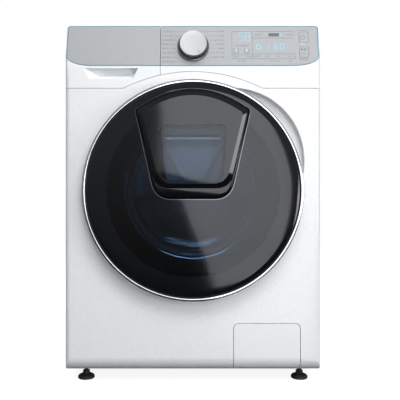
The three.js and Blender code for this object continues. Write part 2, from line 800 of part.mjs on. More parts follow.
// The two halves of a friction damper, made upright from its lower pivot, then leant.
function placeDamper(piece, sign) {
  const lean = Math.atan2(damperHead.x - damperFoot.x, damperHead.z - damperFoot.z);
  const leant = turn(piece, 0, THREE.MathUtils.radToDeg(lean), 0);
  const placed = move(leant, damperFoot.x, damperFoot.y, damperFoot.z);
  return sign > 0 ? placed : placed.mirror([1, 0, 0]);
}
const damperLength = Math.hypot(damperHead.x - damperFoot.x, damperHead.z - damperFoot.z);
function damperCylinder(sign) {
  const length = damperLength * damperShare;
  const tube = post(damperOuter, 12, length, 20).subtract(post(damperInner + 1, 24, length + 1, 20));
  return placeDamper(union(tube, disc(9, -8, 8, 20), box(-5, 5, -8, 8, 0, 14)), sign);
}
function damperRod(sign) {
  const rod = post(damperInner, damperLength * 0.35, damperLength - 6, 16);
  return placeDamper(union(rod, move(disc(8, -8, 8, 20), 0, 0, damperLength)), sign);
}
for (const [side, sign] of [['left', -1], ['right', 1]]) {
  addNode(machine, `damper_cylinder_${side}`, damperCylinder(sign), 'black');
  addNode(machine, `damper_rod_${side}`, damperRod(sign), 'steel');
}

// ---- drum and drive ------------------------------------------------------
const paddleCount = 3;
const paddleBase = 34;
const paddleTop = 10;
const bearingY = [hubY[0] + 4, hubY[1] - 2];
const drumRearY = drumBackY - 6;
const pulsatorY = drumRearY - 8;
const rotorBackY = statorY[1] + 6;

function drumShell() {
  const [r, y0] = [drumRadius, drumFrontY];
  const s = drumSheet;
  return spun([
    [mouthRadius, y0], [r - 8, y0], [r, y0 + 8], [r, drumBackY], [r - s, drumBackY],
    [r - s, y0 + 9], [r - 9, y0 + s], [mouthRadius + s, y0 + s], [mouthRadius + s, y0 + 14], [mouthRadius, y0 + 14],
  ], round);
}
addNode(unit, 'drum_shell', drumShell(), 'steel');

// The drum's back sheet with its three-armed spider.
function drumRear() {
  const r = drumRadius - drumSheet - fit;
  let rear = ring(innerShaftRadius + fit, r, drumRearY, drumRearY + 3, round);
  rear = rear.add(ring(innerShaftRadius + fit, 55, drumRearY + 1, drumRearY + 10, small));
  for (let i = 0; i < paddleCount; i += 1) {
    const arm = box(30, r - 8, drumRearY + 1, drumRearY + 10, -18, 18);
    rear = rear.add(turn(arm, 0, (360 / paddleCount) * i + 30, 0));
  }
  return rear;
}
addNode(unit, 'drum_rear', drumRear(), 'cast');

function paddle(index) {
  const base = drumRadius - drumSheet - fit;
  const outline = [
    [-paddleBase, -base - 8], [paddleBase, -base - 8], [paddleTop, -base + paddleHeight], [-paddleTop, -base + paddleHeight],
  ];
  const wedge = prism('y', outline, drumFrontY + 20, pulsatorY - 30);
  return turn(wedge, 0, (360 / paddleCount) * index, 0).intersect(disc(base, -far, far));
}
for (let i = 0; i < paddleCount; i += 1) addNode(unit, `drum_paddle_${i + 1}`, paddle(i), 'grey');

addNode(unit, 'bearing_cartridge', ring(shaftRadius + fit, bearingRadius, ...bearingY, round), 'steel');

// Hollow drum shaft with the inner rotor of the two-rotor motor.
function drumShaft() {
  const plateY = statorY[0] + 1;
  const outer = statorRadii[0] - airGap;
  return union(
    ring(innerShaftRadius + fit, shaftRadius, drumRearY + 10 + fit, plateY + 3, round),
    ring(innerShaftRadius + fit, outer, plateY, plateY + 3, round),
    ring(outer - rotorRing, outer, plateY, statorY[1] - 1, round),
  );
}
addNode(unit, 'drum_shaft', drumShaft(), 'steel');

function statorRing() {
  let stator = ring(statorRadii[0] + 14, statorRadii[1] - 14, ...statorY, round);
  const teeth = 9;
  for (let i = 0; i < teeth; i += 1) {
    const tooth = box(statorRadii[0], statorRadii[1], statorY[0] + 3, statorY[1] - 3, -8, 8);
    stator = stator.add(turn(tooth, 0, (360 / teeth) * i, 0));
  }
  return stator;
}
addNode(unit, 'stator', statorRing(), 'copper');

// Outer rotor with the inner shaft that turns the pulsator.
function motorRotor() {
  const inner = statorRadii[1] + airGap;
  return union(
    disc(innerShaftRadius, pulsatorY - 8 + fit, rotorBackY + 3, round),
    ring(innerShaftRadius - 1, inner + rotorRing, rotorBackY - 3, rotorBackY, round),
    ring(inner, inner + rotorRing, statorY[0] - 2, rotorBackY, round),
  );
}
addNode(unit, 'motor_rotor', motorRotor(), 'steel');

// The turning back plate of the drum, with ribs and a blind bore for the inner shaft.
function pulsator() {
  const [r, y] = [pulsatorRadius, pulsatorY];
  let plate = spun([[0, y - 20], [50, y - 16], [r, y - 6], [r, y], [0, y]], round)
    .subtract(disc(innerShaftRadius + fit, y - 8, far, round));
  for (let i = 0; i < 6; i += 1) {
    plate = plate.add(turn(box(40, r - 12, y - 26, y - 4, -7, 7), 0, i * 60, 0));
  }
  return plate;
}
addNode(unit, 'pulsator', pulsator(), 'grey');

// ---- water ---------------------------------------------------------------
const filterX = (flapSpan[0] + flapSpan[1]) / 2;
const filterZ = (flapHeights[0] + flapHeights[1]) / 2;
const filterRadius = 26;
const pumpStubX = filterX - 56;
const pumpY = 100;

function drainPump() {
  const house = disc(filterRadius + 8, 44, 132, small).subtract(disc(filterRadius + 1, 43, pumpY + 1, small));
  const stub = turn(post(16, -56, -20, 20), 0, 90, 0);
  const bore = disc(filterRadius + 1, pumpY - 20, pumpY + 1, small);
  return union(
    move(house, filterX, 0, filterZ),
    move(disc(24, 131, 176, small), filterX, 0, filterZ),
    move(stub, filterX, pumpY, filterZ).subtract(move(bore, filterX, 0, filterZ)),
  );
}
addNode(machine, 'drain_pump', drainPump(), 'black');

addNode(addGroup(machine, filterX, 0, filterZ), 'drain_filter', union(
  disc(filterRadius, 38, pumpY - 4, small),
  box(-filterRadius + 6, filterRadius - 6, 22, 39, -4, 4),
), 'grey');

function sumpHose() {
  const top = axisZ + sumpDrop - fit;
  const end = pumpStubX - fit;
  return bar([
    [sumpX, sumpY, top], [sumpX, sumpY, top - 20], [sumpX, sumpY - 4, top - 45],
    [sumpX + 2, sumpY - 18, filterZ + 32], [sumpX + 10, pumpY + 14, filterZ + 8], [end - 8, pumpY, filterZ],
    [end, pumpY, filterZ],
  ], 14, 10, small);
}
addNode(machine, 'sump_hose', sumpHose(), 'rubber');

function inletValve() {
  const back = rearY - sheet - fit;
  return union(
    box(inletX - 25, inletX + 25, back - 60, back, inletZ - 22, inletZ + 22),
    move(disc(inletRadius, back - 2, depth, small), inletX, 0, inletZ),
  );
}
addNode(machine, 'inlet_valve', inletValve(), 'pale');

function drainOutlet() {
  const back = rearY - sheet - fit;
  return union(
    move(ring(drainRadius - 3, drainRadius + 5, back - 6, back, small), drainX, 0, drainZ),
    move(ring(drainRadius - 3, drainRadius, back - 40, depth, small), drainX, 0, drainZ),
  );
}
addNode(machine, 'drain_outlet', drainOutlet(), 'black');

function mainsGland() {
  const inner = rearY - sheet - fit;
  return move(union(
    ring(4, glandRadius + 4, rearY + fit, rearY + 4, 12),
    ring(4, glandRadius, inner - 8, rearY + 1, 12),
  ), glandX, 0, glandZ);
}
addNode(machine, 'mains_gland', mainsGland(), 'black');

// ---- door ----------------------------------------------------------------
const rimInner = doorRadius - ringWidth;
const coverRadius = rimInner - fit;
const coverEdgeY = ringFrontY + 2.5;
const notchHalf = hingeHalf + 3;
const notchFrontY = hingeY - knuckleRadius - 1;
const collarRadius = bowlRadius + fit;
const latchY = -17;
const hatchTopHalf = 124; // lid: half width at its upper corners
const hatchTopZ = 182;
const hatchApexZ = 223;
const hatchFootHalf = 83;
const hatchFootZ = 5;
const surroundFootZ = -12;
const surroundBevel = 8.7;
const surroundRise = 16;
const ledgeY = -41;
const ductTop = [70, 140]; // half width and height of the passage
const ductFoot = [60, 22];

function hingeNotch() {
  return box(-far, hingeX + 45, notchFrontY, far, -notchHalf, notchHalf);
}

function doorRing() {
  const [r0, r1] = [rimInner, doorRadius];
  return spun([
    [r0, ringBackY], [r1, ringBackY], [r1, ringFrontY + 4], [r1 - 4, ringFrontY], [r0, ringFrontY + 2],
  ]).subtract(box(-far, hingeX + 5, notchFrontY, far, -notchHalf, notchHalf));
}
addNode(door, 'door_ring', doorRing(), 'chrome');

function domePoints(radius, shift) {
  const points = [];
  const count = 4;
  for (let i = 0; i <= count; i += 1) {
    const r = (radius * i) / count;
    points.push([r, coverEdgeY - domeRise * (1 - (r / coverRadius) ** 2) + shift]);
  }
  return points;
}

// Outline of the hatch, grown sideways and moved at its foot.
function hatchOutline(grow, footZ) {
  const [tx, tz] = [hatchTopHalf + grow, hatchTopZ + 0.6 * grow];
  const [fx, fz] = [hatchFootHalf + grow - (hatchFootZ - footZ) * 0.23, footZ];
  const slope = (tx - fx) / (tz - fz);
  const [cut, turnIn, rise] = [11, 13, 4.5];
  const apex = 2 * (hatchApexZ + grow) - tz - rise;
  const corner = 15;
  const shape = new THREE.Shape();
  shape.moveTo(-fx + corner, fz);
  shape.lineTo(fx - corner, fz);
  shape.quadraticCurveTo(fx, fz, fx + slope * corner, fz + corner);
  shape.lineTo(tx - slope * cut, tz - cut);
  shape.quadraticCurveTo(tx, tz, tx - turnIn, tz + rise);
  shape.quadraticCurveTo(0, apex, -tx + turnIn, tz + rise);
  shape.quadraticCurveTo(-tx, tz, -tx + slope * cut, tz - cut);
  shape.lineTo(-fx - slope * corner, fz + corner);
  shape.quadraticCurveTo(-fx, fz, -fx + corner, fz);
  return shape;
}

function hatchPrism(grow, footZ, y0, y1, options = {}) {
  return prism('y', hatchOutline(grow, footZ), y0, y1, { curveSegments: 5, ...options });
}

function ductPrism(grow, y0, y1) {
  const [top, foot] = [ductTop, ductFoot];
  return prism('y', [
    [-foot[0] - grow, foot[1] - grow], [foot[0] + grow, foot[1] - grow],
    [top[0] + grow, top[1] + grow], [-top[0] - grow, top[1] + grow],
  ], y0, y1);
}

function doorCover() {
  const skirt = coverRadius - doorWall;
  const outer = domePoints(coverRadius, 0);
  const inner = domePoints(skirt, doorWall).reverse();
  const dome = spun([...outer, [coverRadius, ringBackY], [skirt, ringBackY], ...inner]);
  return dome
    .subtract(hatchPrism(surroundBevel + fit, surroundFootZ - surroundBevel - fit, -far / 8, far / 8))
    .subtract(box(-far, hingeX + 16, notchFrontY, far, -notchHalf, notchHalf));
}
addNode(door, 'door_cover', doorCover(), 'dark');

// Inner frame: back plate with a collar for the glass, the hinge knuckle and openings.
function doorFrame() {
  const [y0, y1] = [doorBackY - 3, doorBackY];
  const knuckle = move(post(knuckleRadius, -knuckleHalf, knuckleHalf), hingeX, hingeY, 0);
  const web = box(hingeX, hingeX + 48, hingeY + 2, y1 - 1, -knuckleHalf, knuckleHalf);
  const bore = move(post(pinRadius + fit, -far, far), hingeX, hingeY, 0);
  const armGaps = hingeNotch().subtract(box(-far, far, -far, far, -knuckleHalf, knuckleHalf));
  return union(
    ring(collarRadius, coverRadius, y0, y1),
    ring(collarRadius, collarRadius + 4, y0, y1 + 16),
  )
    .subtract(armGaps)
    .add(knuckle)
    .add(web)
    .subtract(bore)
    .subtract(box(hookSlot[0], hookSlot[1], -far, far, -8, 8));
}
addNode(door, 'door_frame', doorFrame(), 'pale');

function doorGlass() {
  const [r, d, w] = [bowlRadius, bowlDepth, bowlWall];
  return spun([
    [r, -7.5], [r, -3.5], [r - 16, d * 0.4], [r - 34, d * 0.82], [r - 62, d], [0, d],
    [0, d - w], [r - 64, d - w], [r - 38, d * 0.79], [r - 20, d * 0.39], [r - 9, -7.5],
  ]).subtract(ductPrism(ductWall + fit, -far / 8, far / 8));
}
addNode(door, 'door_glass', doorGlass(), 'clear');

function doorHook() {
  const x = hookX;
  const outline = [
    [x - 2.5, latchY - 5], [x + 2.5, latchY - 5], [x + 2.5, 19], [x + 6.5, 19], [x + 2.5, 27], [x - 2.5, 27],
  ];
  return union(prism('z', outline, -6, 6), move(post(5, -6, 6), x, latchY, 0));
}
addNode(door, 'door_hook', doorHook(), 'steel');

// The lock behind the front panel, with a slot for the hook.
function doorLock() {
  const y0 = dishDepth + sheet + fit;
  return box(hookX - 10.5, hookX + 19, y0, y0 + 46, -28, 28)
    .subtract(box(hookSlot[0], hookSlot[1], y0 - 1, y0 + 30, -9, 9));
}
addNode(machine, 'door_lock', move(doorLock(), 0, 0, axisZ), 'black');

// Cabinet side of the hinge: base plate, two bent arms and the pin.
function doorHinge() {
  const half = 2.5;
  const seatY = dishDepth - fit;
  const [reach, bend, shift] = [32, 3, 5];
  const arm = [
    [hingeX, hingeY - half], [hingeX + reach, hingeY - half], [hingeX + reach + bend, hingeY + 0.5],
    [hingeX + reach + bend, seatY - 2], [hingeX + reach + bend - shift, seatY - 2],
    [hingeX + reach + bend - shift, hingeY + 5.5], [hingeX + reach - shift, hingeY + half], [hingeX, hingeY + half],
  ];
  const low = knuckleHalf + fit;
  let hinge = union(
    box(hingeX + reach - 1, -holeRadius - 1.5, seatY - 3.6, seatY, -hingeHalf, hingeHalf),
    move(post(pinRadius, -hingeHalf, hingeHalf), hingeX, hingeY, 0),
  );
  for (const [z0, z1] of [[low, hingeHalf], [-hingeHalf, -low]]) {
    hinge = hinge.add(prism('z', arm, z0, z1)).add(move(post(knuckleRadius, z0, z1), hingeX, hingeY, 0));
  }
  return hinge;
}
addNode(machine, 'door_hinge', move(doorHinge(), 0, 0, axisZ), 'steel');

// ---- hatch ---------------------------------------------------------------
// Raised surround on the door, the ledge that the lid closes on and the passage to the drum.
function hatchSurround() {
  const backY = doorBackY - 3 - fit;
  const bevel = { bevelEnabled: true, bevelThickness: surroundRise, bevelSize: surroundBevel, bevelSegments: 1 };
  const block = hatchPrism(0, surroundFootZ, surroundFrontY + surroundRise, -backY + 40, bevel)
    .intersect(box(-far, far, -far, backY, -far, far))
    .intersect(hatchPrism(surroundBevel, surroundFootZ - surroundBevel, -far / 8, far / 8));
  const wall = 3;
  const hollow = hatchPrism(surroundBevel - wall, surroundFootZ - surroundBevel + wall, ledgeY + wall, far / 8);
  const recess = hatchPrism(hatchGap, hatchFootZ - hatchGap, -far / 8, ledgeY);
  return block
    .subtract(hollow)
    .subtract(recess)
    .add(ductPrism(ductWall, ledgeY, ductBackY))
    .subtract(ductPrism(0, -far / 8, far / 8));
}
addNode(door, 'hatch_surround', hatchSurround(), 'dark');

const glassBackY = hatchFrontY + 4;
addNode(door, 'hatch_window', hatchPrism(0, hatchFootZ, hatchFrontY, glassBackY), 'clear');

function hatchFrame() {
  const y0 = glassBackY + fit;
  const y1 = ledgeY - 3;
  const hook = box(hatchTopHalf - 40, hatchTopHalf - 34, y1 - 1, ledgeY - fit, 95, 115);
  return hatchPrism(-1, hatchFootZ + 1, y0, y1)
    .subtract(hatchPrism(-16, hatchFootZ + 16, -far / 8, far / 8))
    .add(hook);
}
addNode(door, 'hatch_frame', hatchFrame(), 'dark');

export default machine;
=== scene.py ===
import json
import math

import bmesh
import bpy
from mathutils import Matrix, Vector

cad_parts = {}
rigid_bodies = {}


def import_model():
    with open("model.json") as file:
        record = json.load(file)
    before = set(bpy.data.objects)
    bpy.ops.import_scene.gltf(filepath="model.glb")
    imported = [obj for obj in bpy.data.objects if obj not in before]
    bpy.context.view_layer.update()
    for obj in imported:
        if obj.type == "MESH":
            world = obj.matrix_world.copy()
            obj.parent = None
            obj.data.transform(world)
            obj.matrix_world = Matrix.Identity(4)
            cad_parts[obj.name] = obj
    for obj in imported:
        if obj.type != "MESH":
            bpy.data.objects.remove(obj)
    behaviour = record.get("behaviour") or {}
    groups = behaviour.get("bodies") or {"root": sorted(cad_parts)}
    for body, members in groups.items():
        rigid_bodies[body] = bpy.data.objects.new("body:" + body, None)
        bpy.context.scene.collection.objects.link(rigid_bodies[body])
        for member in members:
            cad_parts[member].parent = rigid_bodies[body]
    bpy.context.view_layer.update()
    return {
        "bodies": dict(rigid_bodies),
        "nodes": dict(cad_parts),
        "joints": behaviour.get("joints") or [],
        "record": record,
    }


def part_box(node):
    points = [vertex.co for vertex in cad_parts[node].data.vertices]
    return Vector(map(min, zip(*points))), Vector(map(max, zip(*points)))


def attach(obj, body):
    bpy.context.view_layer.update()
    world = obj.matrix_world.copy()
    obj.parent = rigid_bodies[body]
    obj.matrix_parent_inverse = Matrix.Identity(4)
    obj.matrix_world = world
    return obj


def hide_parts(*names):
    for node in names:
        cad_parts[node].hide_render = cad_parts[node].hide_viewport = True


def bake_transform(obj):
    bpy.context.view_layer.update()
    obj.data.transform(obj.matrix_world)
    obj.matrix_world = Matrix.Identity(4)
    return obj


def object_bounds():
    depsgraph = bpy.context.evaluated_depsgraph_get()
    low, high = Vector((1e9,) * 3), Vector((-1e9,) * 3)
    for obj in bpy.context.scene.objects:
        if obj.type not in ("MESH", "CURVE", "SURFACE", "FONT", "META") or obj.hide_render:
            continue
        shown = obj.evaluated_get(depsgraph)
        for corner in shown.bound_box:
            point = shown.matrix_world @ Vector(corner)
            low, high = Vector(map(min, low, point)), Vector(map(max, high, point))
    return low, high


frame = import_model()

mm = 0.001
ringLow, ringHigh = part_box("door_ring")
panelLow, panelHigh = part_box("front_panel")
topLow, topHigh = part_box("worktop")
drawerLow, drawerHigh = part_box("drawer_front")
consoleLow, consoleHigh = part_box("console_body")
wholeLow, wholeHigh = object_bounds()

halfWidth = (panelHigh.x - panelLow.x) / 2
panelY = panelLow.y  # plane of the front panel
wrapY = panelHigh.y  # where the front skins end at the sides
topZ = topHigh.z
seamZ = drawerLow.z - 0.6 * mm  # joint between front panel and console
splitX = drawerHigh.x + 0.6 * mm  # joint between drawer and console
axis = Vector((0, 0, (ringLow.z + ringHigh.z) / 2))  # the drum's axis runs along Y through here
doorRadius = (ringHigh.x - ringLow.x) / 2
archTop = panelHigh.z + 0.6 * mm
archRadius = doorRadius + 103.5 * mm
tilt = math.radians(11.5)  # how far the control face leans back
faceZ = seamZ + 53 * mm
faceLength = (topZ - 3 * mm - faceZ) / math.cos(tilt)
leanFrame = Matrix.Translation((0, panelY, faceZ)) @ Matrix.Rotation(-tilt, 4, "X")
doorFrame = Matrix.Translation((0, panelY, axis.z))


# ---- small helpers: nodes, meshes, cuts

def hexColor(code):
    parts = [int(code[i:i + 2], 16) / 255 for i in (1, 3, 5)]
    linear = [v / 12.92 if v <= 0.04045 else ((v + 0.055) / 1.055) ** 2.4 for v in parts]
    return (*linear, 1.0)


def addNode(material, kind, links=None, **settings):
    # one node with its settings; links maps an input's name or number to another node's output
    node = material.node_tree.nodes.new(kind)
    for key, value in settings.items():
        if hasattr(node, key):
            setattr(node, key, value)
        else:
            node.inputs[key.replace("_", " ")].default_value = value
    for key, output in (links or {}).items():
        material.node_tree.links.new(output, node.inputs[key])
    return node


def newMaterial(name, **settings):
    material = bpy.data.materials.new(name)
    material.use_nodes = True
    shader = material.node_tree.nodes["Principled BSDF"]
    for key, value in settings.items():
        shader.inputs[key.replace("_", " ")].default_value = value
    return material, shader


def join(material, output, socket):
    material.node_tree.links.new(output, socket)


def surfaceDetail(material, shader, scale, strength, distance, tone=None, stretch=(1, 1, 1), rough=None):
    # fine unevenness of a made surface: bump, a little tone and a little roughness from one noise
    coords = addNode(material, "ShaderNodeTexCoord")
    mapping = addNode(material, "ShaderNodeMapping", {"Vector": coords.outputs["Object"]}, Scale=stretch)
    noise = addNode(material, "ShaderNodeTexNoise", {"Vector": mapping.outputs[0]}, Scale=scale, Detail=3.0)
    bump = addNode(material, "ShaderNodeBump", {"Height": noise.outputs[0]},
                   Strength=strength, Distance=distance)
    join(material, bump.outputs[0], shader.inputs["Normal"])
    if tone:
        ramp = addNode(material, "ShaderNodeValToRGB", {"Fac": noise.outputs[0]})
        ramp.color_ramp.elements[0].position = 0.3
        ramp.color_ramp.elements[1].position = 0.7
        ramp.color_ramp.elements[0].color = hexColor(tone[0])
        ramp.color_ramp.elements[1].color = hexColor(tone[1])
        join(material, ramp.outputs[0], shader.inputs["Base Color"])
    if rough:
        spread = addNode(material, "ShaderNodeMapRange", {"Value": noise.outputs[0]},
                         From_Min=0.3, From_Max=0.7)
        spread.inputs["To Min"].default_value = rough[0]
        spread.inputs["To Max"].default_value = rough[1]
        join(material, spread.outputs[0], shader.inputs["Roughness"])
    return noise


def smoothByAngle(bm, degrees):
    for face in bm.faces:
        face.smooth = True
    for edge in bm.edges:
        edge.smooth = len(edge.link_faces) == 2 and edge.calc_face_angle(0.0) < math.radians(degrees)


def makePiece(bm, name, material, place=None, angle=32, bevel=None, segments=2):
    # a bmesh becomes an object at the origin with its place in its mesh
    if place is not None:
        bmesh.ops.transform(bm, matrix=place, verts=bm.verts)
    bmesh.ops.recalc_face_normals(bm, faces=bm.faces)
    mesh = bpy.data.meshes.new(name)
    smoothByAngle(bm, angle)
    bm.to_mesh(mesh)
    bm.free()
    piece = bpy.data.objects.new(name, mesh)
    bpy.context.collection.objects.link(piece)
    for each in material if isinstance(material, (list, tuple)) else [material]:
        mesh.materials.append(each)
    if bevel:
        edge = piece.modifiers.new("edge", "BEVEL")
        edge.width = bevel
        edge.segments = segments
        edge.limit_method = "ANGLE"
        edge.angle_limit = math.radians(angle + 3)
        edge.harden_normals = True
    return piece


def placePiece(piece, body, slot, *nodes):
    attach(piece, body)
    if nodes:
        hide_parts(*nodes)
    return piece


def outlinePrism(points, direction, low, high):
    # a closed outline of (u, v) pushed along one axis; u and v are the other two axes in order
    bm = bmesh.new()
    spots = {"x": lambda u, v: (low, u, v), "y": lambda u, v: (u, low, v), "z": lambda u, v: (u, v, low)}
    face = bm.faces.new([bm.verts.new(spots[direction](u, v)) for u, v in points])
    pushed = bmesh.ops.extrude_face_region(bm, geom=[face])
    step = Vector([high - low if name == direction else 0 for name in "xyz"])
    bmesh.ops.translate(bm, vec=step, verts=[v for v in pushed["geom"] if isinstance(v, bmesh.types.BMVert)])
    bmesh.ops.recalc_face_normals(bm, faces=bm.faces)
    return bm


def spinProfile(points, steps, closed=False):
    # a profile of (radius, y) spun about the Y axis
    bm = bmesh.new()
    verts = [bm.verts.new((r, y, 0)) for r, y in points]
    pairs = list(zip(verts, verts[1:])) + ([(verts[-1], verts[0])] if closed else [])
    edges = [bm.edges.new(pair) for pair in pairs]
    bmesh.ops.spin(bm, geom=verts + edges, cent=(0, 0, 0), axis=(0, 1, 0), angle=2 * math.pi,
                   steps=steps, use_merge=True)
    bmesh.ops.remove_doubles(bm, verts=bm.verts, dist=1e-6)
    bmesh.ops.recalc_face_normals(bm, faces=bm.faces)
    return bm


def cylinder(radius, low, high, steps, direction="y", top=None):
    bm = bmesh.new()
    bmesh.ops.create_cone(bm, cap_ends=True, segments=steps, radius1=radius,
                          radius2=radius if top is None else top, depth=high - low)
    bmesh.ops.translate(bm, vec=(0, 0, (low + high) / 2), verts=bm.verts)
    if direction == "y":
        bmesh.ops.rotate(bm, matrix=Matrix.Rotation(-math.pi / 2, 3, "X"), verts=bm.verts)
    if direction == "x":
        bmesh.ops.rotate(bm, matrix=Matrix.Rotation(math.pi / 2, 3, "Y"), verts=bm.verts)
    return bm


def block(low, high):
    bm = bmesh.new()
    bmesh.ops.create_cube(bm, size=1)
    low, high = Vector(low), Vector(high)
    bmesh.ops.scale(bm, vec=high - low, verts=bm.verts)
    bmesh.ops.translate(bm, vec=(low + high) / 2, verts=bm.verts)
    return bm


def combine(bm, other, operation="DIFFERENCE"):
    # joins or cuts two closed meshes and gives the result back as a bmesh
    objects = []
    for source in (bm, other):
        mesh = bpy.data.meshes.new("part")
        source.to_mesh(mesh)
        source.free()
        made = bpy.data.objects.new("part", mesh)
        bpy.context.collection.objects.link(made)
        objects.append(made)
    cut = objects[0].modifiers.new("cut", "BOOLEAN")
    cut.operation = operation
    cut.solver = "EXACT"
    cut.object = objects[1]
    bpy.context.view_layer.update()
    result = bmesh.new()
    result.from_object(objects[0], bpy.context.evaluated_depsgraph_get())
    for made in objects:
        mesh = made.data
        bpy.data.objects.remove(made)
        bpy.data.meshes.remove(mesh)
    bmesh.ops.remove_doubles(result, verts=result.verts, dist=1e-6)
    bmesh.ops.dissolve_limit(result, angle_limit=math.radians(0.05), verts=result.verts, edges=result.edges)
    return result


def merged(*meshes):
    # several closed meshes side by side in one piece
    whole = bmesh.new()
    for bm in meshes:
        mesh = bpy.data.meshes.new("part")
        bm.to_mesh(mesh)
        bm.free()
        whole.from_mesh(mesh)
        bpy.data.meshes.remove(mesh)
    return whole


def arc(centreU, centreV, radius, start, stop, steps, radiusV=None):
    # points on an arc from start to stop degrees
    points = []
    for i in range(steps + 1):
        angle = math.radians(start + (stop - start) * i / steps)
        points.append((centreU + radius * math.cos(angle), centreV + (radiusV or radius) * math.sin(angle)))
    return points


def curvePoint(start, knot, end, t):
    # a point on the quadratic curve that leaves start towards knot and arrives at end
    return tuple(a * (1 - t) ** 2 + b * 2 * t * (1 - t) + c * t * t for a, b, c in zip(start, knot, end))


def moved(bm, offset):
    bmesh.ops.translate(bm, vec=offset, verts=bm.verts)
    return bm


def turned(bm, degrees, name):
    bmesh.ops.rotate(bm, matrix=Matrix.Rotation(math.radians(degrees), 3, name), verts=bm.verts)
    return bm


# ---- materials, each named for what it is made of

def enamelWhite():
    # stove enamel on sheet steel: hard gloss coat with a faint orange peel
    material, shader = newMaterial("enamelWhite", Roughness=0.3, IOR=1.5,
                                   Coat_Weight=0.35, Coat_Roughness=0.08)
    surfaceDetail(material, shader, 220, 0.05, 0.2 * mm, tone=("#eef0f2", "#f4f5f6"), rough=(0.27, 0.36))
    return material


def absWhite():
    # white moulded ABS: a slightly softer sheen than the enamel, fine spark texture
    material, shader = newMaterial("absWhite", Roughness=0.38, IOR=1.53)
    surfaceDetail(material, shader, 900, 0.06, 0.1 * mm, tone=("#eff1f3", "#f4f6f7"), rough=(0.34, 0.44))
    return material


def silverFilm():
    # silver-printed ABS fascia, brushed across: dull metallic sheen, hairlines 0.4 mm apart drawn along X
    material, shader = newMaterial("silverFilm", Metallic=0.35, Roughness=0.4, IOR=1.5)
    surfaceDetail(material, shader, 60, 0.10, 0.05 * mm, tone=("#b3b6b9", "#bdbfc2"), stretch=(1, 30, 40),
                  rough=(0.36, 0.46))
    return material


def chromePlate():
    # bright chrome on moulded ABS: clear mirror, slight waviness
    material, shader = newMaterial("chromePlate", Metallic=1.0, Roughness=0.07)
    surfaceDetail(material, shader, 40, 0.02, 0.2 * mm, tone=("#d6d9dc", "#e2e4e6"), rough=(0.05, 0.1))
    return material


def smokedChrome():
    # dark chrome plating
    material, shader = newMaterial("smokedChrome", Metallic=0.6, Roughness=0.2)
    surfaceDetail(material, shader, 80, 0.03, 0.1 * mm, tone=("#7c7f82", "#8b8e91"), rough=(0.12, 0.2))
    return material


def spunAluminium(place):
    # turned aluminium: circular tool marks about 0.5 mm apart and a bright conical sheen
    material, shader = newMaterial("spunAluminium", Metallic=0.4, Roughness=0.3, Anisotropic=0.6)
    coords = addNode(material, "ShaderNodeTexCoord")
    centre = place.to_translation()
    mapping = addNode(material, "ShaderNodeMapping", {"Vector": coords.outputs["Object"]},
                      vector_type="TEXTURE", Location=centre, Rotation=(-tilt, 0, 0))
    rings = addNode(material, "ShaderNodeTexWave", {"Vector": mapping.outputs[0]}, wave_type="RINGS",
                    rings_direction="Y", Scale=300.0, Distortion=0.4, Detail=1.0)
    bump = addNode(material, "ShaderNodeBump", {"Height": rings.outputs["Fac"]},
                   Strength=0.12, Distance=0.05 * mm)
    join(material, bump.outputs[0], shader.inputs["Normal"])
    ramp = addNode(material, "ShaderNodeValToRGB", {"Fac": rings.outputs["Fac"]})
    ramp.color_ramp.elements[0].color = hexColor("#d3d4d5")
    ramp.color_ramp.elements[1].color = hexColor("#e6e7e8")
    join(material, ramp.outputs[0], shader.inputs["Base Color"])
    tangent = addNode(material, "ShaderNodeTangent", direction_type="RADIAL", axis="Y")
    join(material, tangent.outputs[0], shader.inputs["Tangent"])
    return material


def smokedAcrylic():
    # tinted clear acrylic: dark blue-grey body, polished surface
    material, shader = newMaterial("smokedAcrylic", Roughness=0.085, IOR=1.45, Transmission_Weight=1.0)
    surfaceDetail(material, shader, 4, 0.004, 0.2 * mm, tone=("#5f6c7a", "#677482"))
    return material


def clearGlass():
    # pressed soda-lime glass: clear with a faint cool tint and slight ripple
    material, shader = newMaterial("clearGlass", Roughness=0.02, IOR=1.5, Transmission_Weight=1.0)
    surfaceDetail(material, shader, 25, 0.05, 0.4 * mm, tone=("#e4eef4", "#eef5f9"))
    return material


def glossBlack():
    # black gloss ABS with a very fine polish haze
    material, shader = newMaterial("glossBlack", Roughness=0.12, IOR=1.53)
    surfaceDetail(material, shader, 6, 0.004, 0.1 * mm, tone=("#05080d", "#080b10"), rough=(0.08, 0.11))
    return material


def mouldedBlack():
    # black moulded polypropylene, matt spark-eroded texture
    material, shader = newMaterial("mouldedBlack", Roughness=0.55, IOR=1.49)
    surfaceDetail(material, shader, 1100, 0.2, 0.15 * mm, tone=("#161718", "#202122"), rough=(0.5, 0.65))
    return material


def mouldedGrey():
    # glass-filled polypropylene of tub and paddles: mid grey, dull
    material, shader = newMaterial("mouldedGrey", Roughness=0.5, IOR=1.49)
    surfaceDetail(material, shader, 500, 0.15, 0.15 * mm, tone=("#868b90", "#8f9499"), rough=(0.45, 0.6))
    return material


def mouldedPale():
    # pale grey polypropylene
    material, shader = newMaterial("mouldedPale", Roughness=0.42, IOR=1.49)
    surfaceDetail(material, shader, 700, 0.1, 0.1 * mm, tone=("#d2d5d8", "#dadcdf"), rough=(0.38, 0.5))
    return material


def stainlessSteel():
    # rolled stainless sheet: brushed along the drum, bluish grey
    material, shader = newMaterial("stainlessSteel", Metallic=1.0, Roughness=0.28)
    surfaceDetail(material, shader, 90, 0.12, 0.1 * mm, tone=("#aab3bd", "#bcc5ce"), stretch=(1, 0.06, 1),
                  rough=(0.22, 0.36))
    return material


